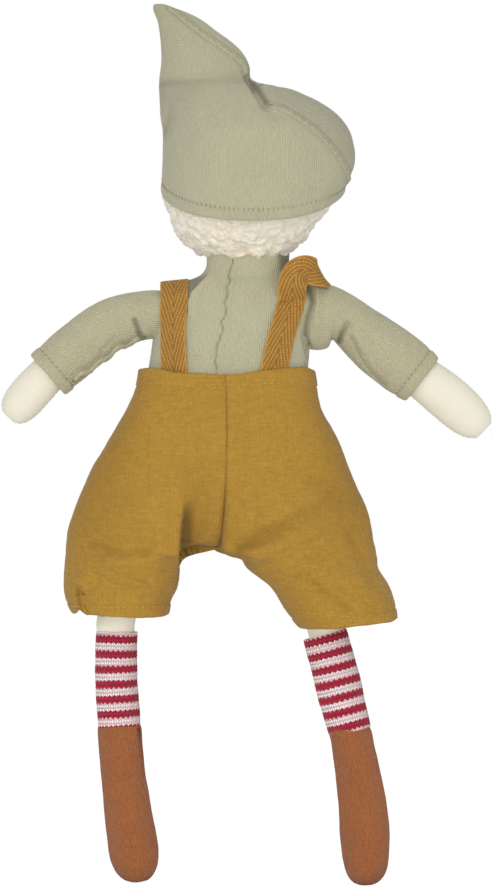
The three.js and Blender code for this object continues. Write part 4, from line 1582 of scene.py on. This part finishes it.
class DOLL_OT_arms(bpy.types.Operator):
    """Makes the stuffed arms with their round mitten hands"""

    bl_idname = "doll.arms"
    bl_label = "Arms"

    def execute(self, context):
        for side, rows in ARMS.items():
            arm = tube("arm_" + side + "_cover", leaning(rows), 28, 40)
            stuff(arm, 0.7)
            refine(arm)
            refine(arm)
            sign = 1 if side == "left" else -1
            sculpt(arm, lambda here, normal: self.seam(here, normal, sign))
            # Painted shade along the groove of the hand's sewn seam.
            marks(arm, lambda here: 0.8 * bell(here.y, 0.5) * ease(here.z, 255, 240))
            dress(arm, "cotton", "cotton", "arm_" + side)
            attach(arm, "arm_" + side)
        return {"FINISHED"}

    def seam(self, here, normal, sign):
        """A sewn seam round the edge of the hand, and slight puckers beside it."""
        pucker = 0.12 * sin((here.x * sign - here.z) * 2.1) * bell(here.y, 3.5)
        return normal * (-0.4 * bell(here.y, 0.7) + pucker + 0.15 * wobble(here, 10, 1.1))


def even(points, count):
    """The same closed run of points, evenly spaced."""
    closed = points + points[:1]
    runs = [0.0]
    for a, b in zip(closed, closed[1:]):
        runs.append(runs[-1] + (b - a).length)
    out, n = [], 0
    for k in range(count):
        want = runs[-1] * k / count
        while runs[n + 1] < want:
            n += 1
        t = (want - runs[n]) / max(runs[n + 1] - runs[n], 1e-9)
        out.append(closed[n].lerp(closed[n + 1], t))
    return out


def half_points(row, count, sign):
    """One half of the dungarees: it lies past the middle seam down to the crotch, inside the other."""
    middle, y, z, outer, inner, deep = row
    power = 0.82
    points = []
    for k in range(360):
        turn = 2 * pi * k / 360
        c, s = cos(turn), sin(turn)
        reach = outer if c > 0 else inner
        across = reach * abs(c) ** power * (1 if c > 0 else -1)
        depth = deep * abs(s) ** power * (1 if s > 0 else -1)
        drop = 1.3 * ease(z, 132, 124) * max(s, 0)
        lean = 0.1 * ease(z, 136, 120) if sign < 0 else 0.0
        points.append(place(middle + sign * across, y + depth, z - drop + lean * across))
    return even(points, count)


def along_x(x, points):
    """The height at x on a run of (x, height) points that goes up in x."""
    for (ax, az), (bx, bz) in zip(points, points[1:]):
        if x <= bx:
            return az + (bz - az) * ease(x, ax, bx)
    return points[-1][1]


# Soft folds, and the painted shade along their creases: points, height, width, fade along the run
RIGHT_CREASE = [(-34, 141), (-42, 134), (-54, 126)]
LEFT_CREASE = [(60, 154), (46, 150), (34, 151)]
RIGHT_SIDE = [(-56, 158), (-62, 146), (-66, 136)]
HEM_NOTCH = [(66, 134), (64.5, 126), (63, 121)]
LEG_FOLDS = [
    ([(-5, 153.5), (-24, 161.0), (-50, 174)], -2.8, 5.0, 0.6),
    ([(-14, 148.5), (-30, 155.5), (-50, 165)], 2.0, 5.0, 0.5),
    ([(64, 131), (58, 138), (56, 150)], -1.1, 4.0, 0),
    ([(60, 146), (48, 139), (36, 136)], 1.3, 3.0, 0),
    (LEFT_CREASE, -1.0, 3.0, 0),
    ([(-43, 137), (-56, 128), (-64, 124)], 1.1, 4.4, 0),
    (RIGHT_CREASE, -1.0, 3.6, 0),
    (RIGHT_SIDE, -0.9, 3.4, 0),
    (HEM_NOTCH, -1.8, 2.6, 0),
]
LEG_MARKS = [
    ([(-7, 152.5), (-24, 161.0), (-46, 173)], 0.5, 4.6, 0.8),
    (RIGHT_CREASE, 0.16, 3.0, 0),
    (LEFT_CREASE, 0.2, 2.5, 0),
    (RIGHT_SIDE, 0.18, 2.8, 0),
    ([(-30, 186), (-44, 180), (-57, 170)], 0.1, 5.0, 0),
    ([(-7, 148.6), (2, 150), (9, 151.5), (18, 148.6)], 0.3, 2.0, 0),
    (HEM_NOTCH, 0.55, 1.6, 0),
    (SEAT_SEAM, 0.3, 0.9, 0),
]


def trouser_move(here, normal):
    x, y, z = here
    soft = ease(z, 228, 214)
    out = 1.0 * wobble(here, 26, 3.9) * soft + 0.35 * wobble(here, 11, 7.1) * soft
    out += 0.1 * wobble(here, 3.5, 5.5)
    lift = along_x(x, WAIST) * ease(z, 220, 229)
    if y > 0:
        beside = x - side_line(z, SEAT_FOLD)
        depth = ease(z, 178, 160)
        out -= depth * 5.2 * ease(beside, 0.7, -1.2) * ease(beside, -24, -2)
        out += depth * 0.9 * bell(beside - 2.2, 4.0)
        out += folds(x, z, LEG_FOLDS)
    corner = 3.0 * bell(x - 64.2, 3.6) * ease(z, 131, 124)
    return normal * out + Vector((0, 0, lift + corner))


def side_line(z, points):
    """The x of a run of points at a height."""
    for (ax, az), (bx, bz) in zip(points, points[1:]):
        if min(az, bz) <= z <= max(az, bz):
            return ax + (bx - ax) * (z - az) / (bz - az)
    return points[0][0] if z > points[0][1] else points[-1][0]


# Painted shade beside the seat's fold, on the seat, on the legs' outer sides, and along the listed folds and
# seam.
def trouser_painted_shade(here):
    x, y, z = here
    if y < 0:
        return 0.0
    beside = x - side_line(z, SEAT_FOLD)
    depth = ease(z, 177, 163)
    mark = depth * 1.1 * ease(beside, 0.3, -0.6) * ease(beside, -7, -0.6)
    mark += 0.34 * depth * ease(beside, 0.3, -0.6) * ease(beside, -24, -3) * ease(z, 170, 155)
    mark += 0.16 * ease(x, -2, 10) * ease(x, 30, 18) * ease(z, 196, 176) * ease(beside, 3, -1)
    # The outer sides of the legs are painted darker: painted shade.
    mark += 0.22 * ease(abs(x), 30, 56) * ease(z, 140, 175)
    return mark + folds(x, z, LEG_MARKS)


class DOLL_OT_trousers(bpy.types.Operator):
    """Makes the two halves of the short dungarees, with waistband, hems and topstitches"""

    bl_idname = "doll.trousers"
    bl_label = "Dungarees"

    def execute(self, context):
        for side, rows in TROUSERS.items():
            sign = 1 if side == "left" else -1
            full = [(m, 0, z, outer, inner, deep) for m, z, outer, inner, deep in rows]
            half = tube(
                "trousers_" + side,
                full,
                72,
                60,
                close="none",
                ring=lambda row, count: half_points(row, count, sign),
            )
            top, end = 0.0, length_of(half)
            turn_in(half, top, 1.6, 6.0)
            turn_in(half, end, 1.7, 9.0)
            flip_if_inward(half)
            refine(half)
            refine(half)
            sculpt(half, trouser_move)
            self.edges(half, end)
            marks(half, trouser_painted_shade)
            dress(half, "canvas", "canvas", *REPLACED[side])
            made = [self.waist_stitches(half, side, sign), self.hem_stitches(half, side, rows[-1], sign)]
            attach(made[0], "torso")
            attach(made[1], "leg_" + side)
            if side == "left":
                rays = rays_along(SEAT_SEAM)
                seam = topstitch(
                    "seat_seam_line", surface_of(half), rays, 0.0026, 0.0028, radius=0.00014, sink=0.6
                )
                made.append(dress(seam, "canvas seam", "thread"))
                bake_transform(seam, "torso", "leg_left", place(0, 0, 205), place(0, 0, 160))
            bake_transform(half, "torso", "leg_" + side, place(0, 0, 205), place(0, 0, 160))
        return {"FINISHED"}

    def edges(self, half, end):
        """The turned waist and hem stand a little proud, each with a groove where it is sewn."""
        lengths = [v.value for v in half.data.attributes["length"].data]
        normals = [v.normal.copy() for v in half.data.vertices]
        for vert, normal, length in zip(half.data.vertices, normals, lengths):
            start, finish_at = length / MM, (end - length) / MM
            out = 0.3 * ease(start, 7.4, 5.4) - 0.3 * bell(start - 6.4, 0.8)
            out += 0.4 * ease(finish_at, 5.2, 3.8) - 0.35 * bell(finish_at - 4.5, 0.9)
            vert.co += normal * out * MM

    def waist_stitches(self, half, side, sign):
        rays = []
        for n in range(240):
            turn = -pi / 2 + pi * (n + 2) / 243
            out = Vector((sign * cos(turn), sin(turn), 0))
            z = 224.8 + 0.6 * along_x(sign * 40 * cos(turn), WAIST)
            rays.append((place(0, 0, z) + out * 70 * MM, -out))
        sewn = topstitch(
            "trousers_" + side + "_waist_stitches", surface_of(half), rays, 0.0014, 0.0026, radius=0.0002
        )
        return dress(sewn, "canvas thread", "thread")

    def hem_stitches(self, half, side, row, sign):
        middle, z = row[:2]
        rays = []
        for n in range(361):
            turn = 2 * pi * n / 360
            out = Vector((cos(turn), sin(turn), 0))
            lean = -0.1 * cos(turn) * 22 if sign < 0 else 0.0
            height = z + 4.3 - 1.3 * max(sin(turn), 0) + lean * sign
            rays.append((place(middle, 0, height) + out * 60 * MM, -out))
        sewn = topstitch(
            "trousers_" + side + "_hem_stitches", surface_of(half), rays, 0.0014, 0.0027, radius=0.00019
        )
        return dress(sewn, "canvas thread", "thread")


REPLACED = {
    "left": ("trouser_leg_left", "trouser_hem_left", "trouser_seat"),
    "right": ("trouser_leg_right", "trouser_hem_right", "waistband"),
}


class DOLL_OT_legs(bpy.types.Operator):
    """Makes the stuffed legs"""

    bl_idname = "doll.legs"
    bl_label = "Legs"

    def execute(self, context):
        for side, rows in LEGS.items():
            leg = tube("leg_" + side + "_cover", rows, 28, 36)
            stuff(leg, 0.5)
            refine(leg)
            finish_points(leg)
            dress(leg, "painted-light leg cotton", "cotton", "leg_" + side)
            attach(leg, "leg_" + side)
        return {"FINISHED"}


def knit_relief(piece, columns, pitch, height):
    """Raises each knitted stitch as a small V in the mesh itself."""
    turns = [v.value for v in piece.data.attributes["turn"].data]
    lengths = [v.value for v in piece.data.attributes["length"].data]
    normals = [v.normal.copy() for v in piece.data.vertices]
    for vert, normal, turn, length in zip(piece.data.vertices, normals, turns, lengths):
        column = (turn * columns) % 1.0
        leg = abs(column - 0.5) * 2
        row = (length / pitch + leg * 0.55) % 1.0
        yarn = max(1 - abs(row - 0.5) * 2, 0) ** 0.7
        side = ease(leg, 0.0, 0.3) * (1 - ease(leg, 0.8, 1.0))
        vert.co += normal * height * MM * (yarn * side - 0.3)


class DOLL_OT_socks(bpy.types.Operator):
    """Makes the striped knitted socks"""

    bl_idname = "doll.socks"
    bl_label = "Striped socks"

    def execute(self, context):
        for side, rows in SOCKS.items():
            sock = tube("sock_" + side + "_knit", leaning(rows), 104, 100, close="none")
            turn_in(sock, 0.0, 1.0, 3.0)
            flip_if_inward(sock)
            refine(sock)
            sculpt(sock, lambda here, normal: normal * (0.3 * wobble(here, 7, 3.3)))
            knit_relief(sock, KNIT_COLUMNS, KNIT_ROW, 0.2)
            finish_points(sock)
            dress(sock, "stripes" if side == "left" else "stripes right", "stripes", "sock_" + side)
            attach(sock, "leg_" + side)
        return {"FINISHED"}


BOOT_SLIT = [(38.6, 71), (37.4, 61), (36.0, 50)]


def boot_move(here, normal):
    x, y, z = here
    out = 0.3 * wobble(here, 11, 2.6) + 0.1 * wobble(here, 4, 6.6)
    gap, share = to_line(x, z, BOOT_SLIT)
    return normal * (out - 1.9 * bell(gap, 1.2) * (1 - 0.6 * share) * ease(y, 0, 3))


class DOLL_OT_boots(bpy.types.Operator):
    """Makes the stuffed brown knit boots"""

    bl_idname = "doll.boots"
    bl_label = "Knit boots"

    def execute(self, context):
        for side, rows in BOOTS.items():
            boot = tube("boot_" + side + "_knit", rows, 32, 36)
            stuff(boot, 0.6)
            refine(boot)
            refine(boot)
            sculpt(boot, boot_move)
            for vert in boot.data.vertices:
                vert.co.z = max(vert.co.z, 0.0)
            marks(boot, self.shade)
            dress(boot, "knit", "knit", "boot_" + side)
            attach(boot, "leg_" + side)
        return {"FINISHED"}

    def shade(self, here):
        x, y, z = here
        gap, share = to_line(x, z, BOOT_SLIT)
        return 1.7 * bell(gap, 1.0) * (1 - 0.7 * share) * ease(y, 0, 3)


class DOLL_OT_braces(bpy.types.Operator):
    """Makes the herringbone tape braces, the right one with a loose loop at the shoulder"""

    bl_idname = "doll.braces"
    bl_label = "Tape braces"

    def execute(self, context):
        clothes = [bpy.data.objects[n] for n in ("shirt", "sleeve_left_cloth", "sleeve_right_cloth")]
        trees = surface_of(*clothes)
        left = self.lying(trees, 22.7, 22.7, 21.5, 233, 263)
        self.tape("brace_left", left, "strap_left", -1)
        right = self.lying(trees, -22.2, -30.0, -29.0, 233, 263)
        middle = len(right) // 2
        up = right[: middle - 5]
        down = right[middle + 6 :]
        loop = [
            ((-30.3, 18.6, 270.2), (0.97, 0, 0.22)),
            ((-31.2, 18.8, 273.6), (0.8, 0, 0.6)),
            ((-33.2, 18.6, 276.0), (0.45, 0, 0.89)),
            ((-36.2, 17.6, 276.9), (0.14, 0, 0.99)),
            ((-39.4, 15.6, 276.2), (0.12, 0, 1.0)),
            ((-42.2, 12.4, 275.2), (0.36, 0, 0.93)),
            ((-43.4, 7.6, 274.8), (0.48, 0, 0.88)),
            ((-43.0, 1.0, 274.6), (0.7, 0, 0.7)),
            ((-41.2, -6.0, 273.8), (0.9, 0, 0.42)),
            ((-36.4, -12.4, 270.8), (0.99, 0, 0.1)),
        ]
        loop = [(place(*at), Vector(way).normalized()) for at, way in loop]
        self.tape("brace_right", up + loop + down, "strap_right", 1)
        return {"FINISHED"}

    def lying(self, trees, low_x, high_x, front_x, low_z, turn_z):
        """Places along a tape that lies on the shirt: up the back, over the shoulder, down the front."""
        out = []
        levels = [low_z - 9 + n * (turn_z - low_z + 9) / 14 for n in range(14)]
        for sign in (1, -1):
            part = []
            for z in levels:
                share = (z - low_z) / (turn_z - low_z)
                x = low_x + ((high_x if sign > 0 else front_x) - low_x) * share
                part.append((x, z, Vector((0, sign, 0))))
            for k in range(7 if sign > 0 else 6):
                angle = pi / 2 * k / 6
                x = high_x if sign > 0 else front_x + (high_x - front_x) * k / 6
                part.append((x, turn_z, Vector((0, sign * cos(angle), sin(angle)))))
            out += part if sign > 0 else part[::-1]
        stations = []
        for x, z, aim in out:
            reach = []
            for edge in (-5.5, 0, 5.5):
                start = place(x + edge, 0, z)
                hit = meet(trees, start + aim * 0.08, -aim)
                reach.append((hit[0] - start).dot(aim) if hit else 0.0)
            level = abs(aim.z)
            slope = (reach[2] - reach[0]) / (11 * MM)
            slope = min(max(slope, -0.9), 0.9) * (1 - level) + min(max(slope, -0.1), 0.1) * level
            middle = max(reach[1], (reach[0] + reach[2]) / 2) + level * 1.2 * MM
            gap = 0.2 if z < 231 else 0.9
            bow = 0.5 * sin(pi * min(max((z - low_z) / (turn_z - low_z), 0), 1))
            at = place(x + bow, 0, z) + aim * (middle + gap * MM)
            stations.append((at, Vector((1, 0, 0)) + aim * slope))
        return stations

    def tape(self, name, stations, node, sense):
        """A flat ribbon with rounded edges through places that each have a crossing direction."""
        width = sizes().tape_width
        rows = []
        for at, way in stations:
            rows.append((*at, *way))
        steps = (len(rows) - 1) * 4
        across = [-0.5, -0.46, -0.25, 0, 0.25, 0.46, 0.5]
        points, faces, uvs = [], [], []
        run, before = 0.0, None
        centres = [curve_at(rows, n / steps) for n in range(steps + 1)]
        for n, row in enumerate(centres):
            at, way = Vector(row[:3]), Vector(row[3:]).normalized()
            a = Vector(centres[max(n - 1, 0)][:3])
            b = Vector(centres[min(n + 1, steps)][:3])
            run += (at - before).length if before is not None else 0.0
            before = at
            up = (b - a).normalized()
            way = (way - up * way.dot(up)).normalized()
            out = way.cross(up).normalized()
            ring = [(s, TAPE_HALF * (0.45 if abs(s) == 0.5 else 1.0)) for s in across]
            ring += [(s, -h) for s, h in reversed(ring)]
            for s, h in ring:
                points.append(at + way * s * width + out * h)
                uvs.append((0.5 + s, run * sense))
        count = len(across) * 2
        for n in range(steps):
            for k in range(count):
                here, there = n * count + k, n * count + (k + 1) % count
                faces.append((here, there, there + count, here + count))
        faces.append(tuple(range(count)))
        faces.append(tuple(steps * count + k for k in range(count)))
        clear()
        bpy.ops.mesh.primitive_plane_add(size=0.01)
        tape = bpy.context.object
        tape.name = name
        tape.data.name = name
        tape.data.clear_geometry()
        tape.data.from_pydata(points, [], faces)
        layer = tape.data.uv_layers.get("UVMap") or tape.data.uv_layers.new(name="UVMap")
        layer.name = "pattern"
        for loop in tape.data.loops:
            layer.data[loop.index].uv = uvs[loop.vertex_index]
        tape.data.update()
        outward(tape)
        refine(tape)
        refine(tape)
        finish_points(tape)
        dress(tape, "tape", "tape", node)
        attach(tape, "torso")


# Place, watts and size of each lamp
LAMPS = (
    ((0.9, 2.3, 1.3), 10, 1.2),
    ((0.1, 2.5, 0.08), 13, 0.14),
    ((0.1, 2.5, 0.5), 8, 0.8),
    ((-1.6, 1.6, 0.7), 4, 1.2),
    ((0.5, -2.2, 1.5), 15, 1.4),
)


class DOLL_OT_stage(bpy.types.Operator):
    """Sets up the camera, the pale floor and soft studio light"""

    bl_idname = "doll.stage"
    bl_label = "Stage"

    def execute(self, context):
        scene = context.scene
        scene.view_settings.view_transform = "Standard"
        distance, tall = CAMERA_AWAY, PHOTO_TALL * PIXEL * MM
        middle = place((225 - 246) * PIXEL, 0, 444 * PIXEL - 0.9)
        clear()
        bpy.ops.object.camera_add(location=(middle.x, distance, middle.z), rotation=(pi / 2, 0, pi))
        camera = context.object
        camera.data.sensor_width = 36
        camera.data.lens = 36 * distance / tall
        camera.data.clip_end = 100
        scene.camera = camera
        bpy.ops.mesh.primitive_plane_add(size=8, location=(0, 0, -0.0004))
        floor = context.object
        floor.name = "floor"
        paper = Finish("white paper", 0.9)
        paper.shader.inputs["Base Color"].default_value = (0.93, 0.93, 0.93, 1)
        glow = paper.node("ShaderNodeEmission", None, {"Color": (1, 1, 1), "Strength": 1.06})
        seen = paper.node("ShaderNodeLightPath", None, (), "Is Camera Ray")
        out = paper.tree.nodes["Material Output"]
        base = Wire(paper, paper.shader.outputs[0])
        paper.set(out.inputs[0], paper.node("ShaderNodeMixShader", None, [seen * 0.93, base, glow]))
        floor.data.materials.append(paper.material)
        world = bpy.data.worlds.new("studio")
        scene.world = world
        world.use_nodes = True
        nodes, links = world.node_tree.nodes, world.node_tree.links
        soft = nodes["Background"]
        soft.inputs[0].default_value = (1, 1, 1, 1)
        soft.inputs[1].default_value = 0.55
        white = nodes.new("ShaderNodeBackground")
        white.inputs[0].default_value = (1, 1, 1, 1)
        path = nodes.new("ShaderNodeLightPath")
        mixed = nodes.new("ShaderNodeMixShader")
        ask = nodes.new("ShaderNodeMath")
        ask.operation = "MAXIMUM"
        links.new(path.outputs["Is Camera Ray"], ask.inputs[0])
        links.new(path.outputs["Is Glossy Ray"], ask.inputs[1])
        links.new(ask.outputs[0], mixed.inputs[0])
        links.new(soft.outputs[0], mixed.inputs[1])
        links.new(white.outputs[0], mixed.inputs[2])
        links.new(mixed.outputs[0], nodes["World Output"].inputs[0])
        for at, watts, size in LAMPS:
            turn = (Vector((0, 0, 0.2)) - Vector(at)).to_track_quat("-Z", "Y").to_euler()
            bpy.ops.object.light_add(type="AREA", location=at, rotation=turn)
            lamp = context.object.data
            lamp.energy = watts
            lamp.size = size
        return {"FINISHED"}


PIECES = (
    DOLL_OT_stage,
    DOLL_OT_torso,
    DOLL_OT_head,
    DOLL_OT_hair,
    DOLL_OT_hat,
    DOLL_OT_shirt,
    DOLL_OT_arms,
    DOLL_OT_sleeves,
    DOLL_OT_braces,
    DOLL_OT_legs,
    DOLL_OT_socks,
    DOLL_OT_boots,
    DOLL_OT_trousers,
)


class DOLL_PT_panel(bpy.types.Panel):
    """Lists the doll's pieces"""

    bl_idname = "DOLL_PT_panel"
    bl_label = "Sewn elf doll"
    bl_space_type = "VIEW_3D"
    bl_region_type = "UI"
    bl_category = "Doll"

    def draw(self, context):
        for settings in (context.scene.doll_sizes, context.scene.doll_colours):
            for name in settings.__annotations__:
                self.layout.prop(settings, name)
        for piece in PIECES:
            self.layout.operator(piece.bl_idname)


CLASSES = (DollSizes, DollColours, *PIECES, DOLL_PT_panel)


def register():
    for made in CLASSES:
        bpy.utils.register_class(made)
    bpy.types.Scene.doll_sizes = bpy.props.PointerProperty(type=DollSizes)
    bpy.types.Scene.doll_colours = bpy.props.PointerProperty(type=DollColours)


def unregister():
    del bpy.types.Scene.doll_sizes
    del bpy.types.Scene.doll_colours
    for made in reversed(CLASSES):
        bpy.utils.unregister_class(made)


def main():
    register()
    for piece in PIECES:
        family, name = piece.bl_idname.split(".")
        getattr(getattr(bpy.ops, family), name)()
    clear()


if __name__ == "__main__":
    main()
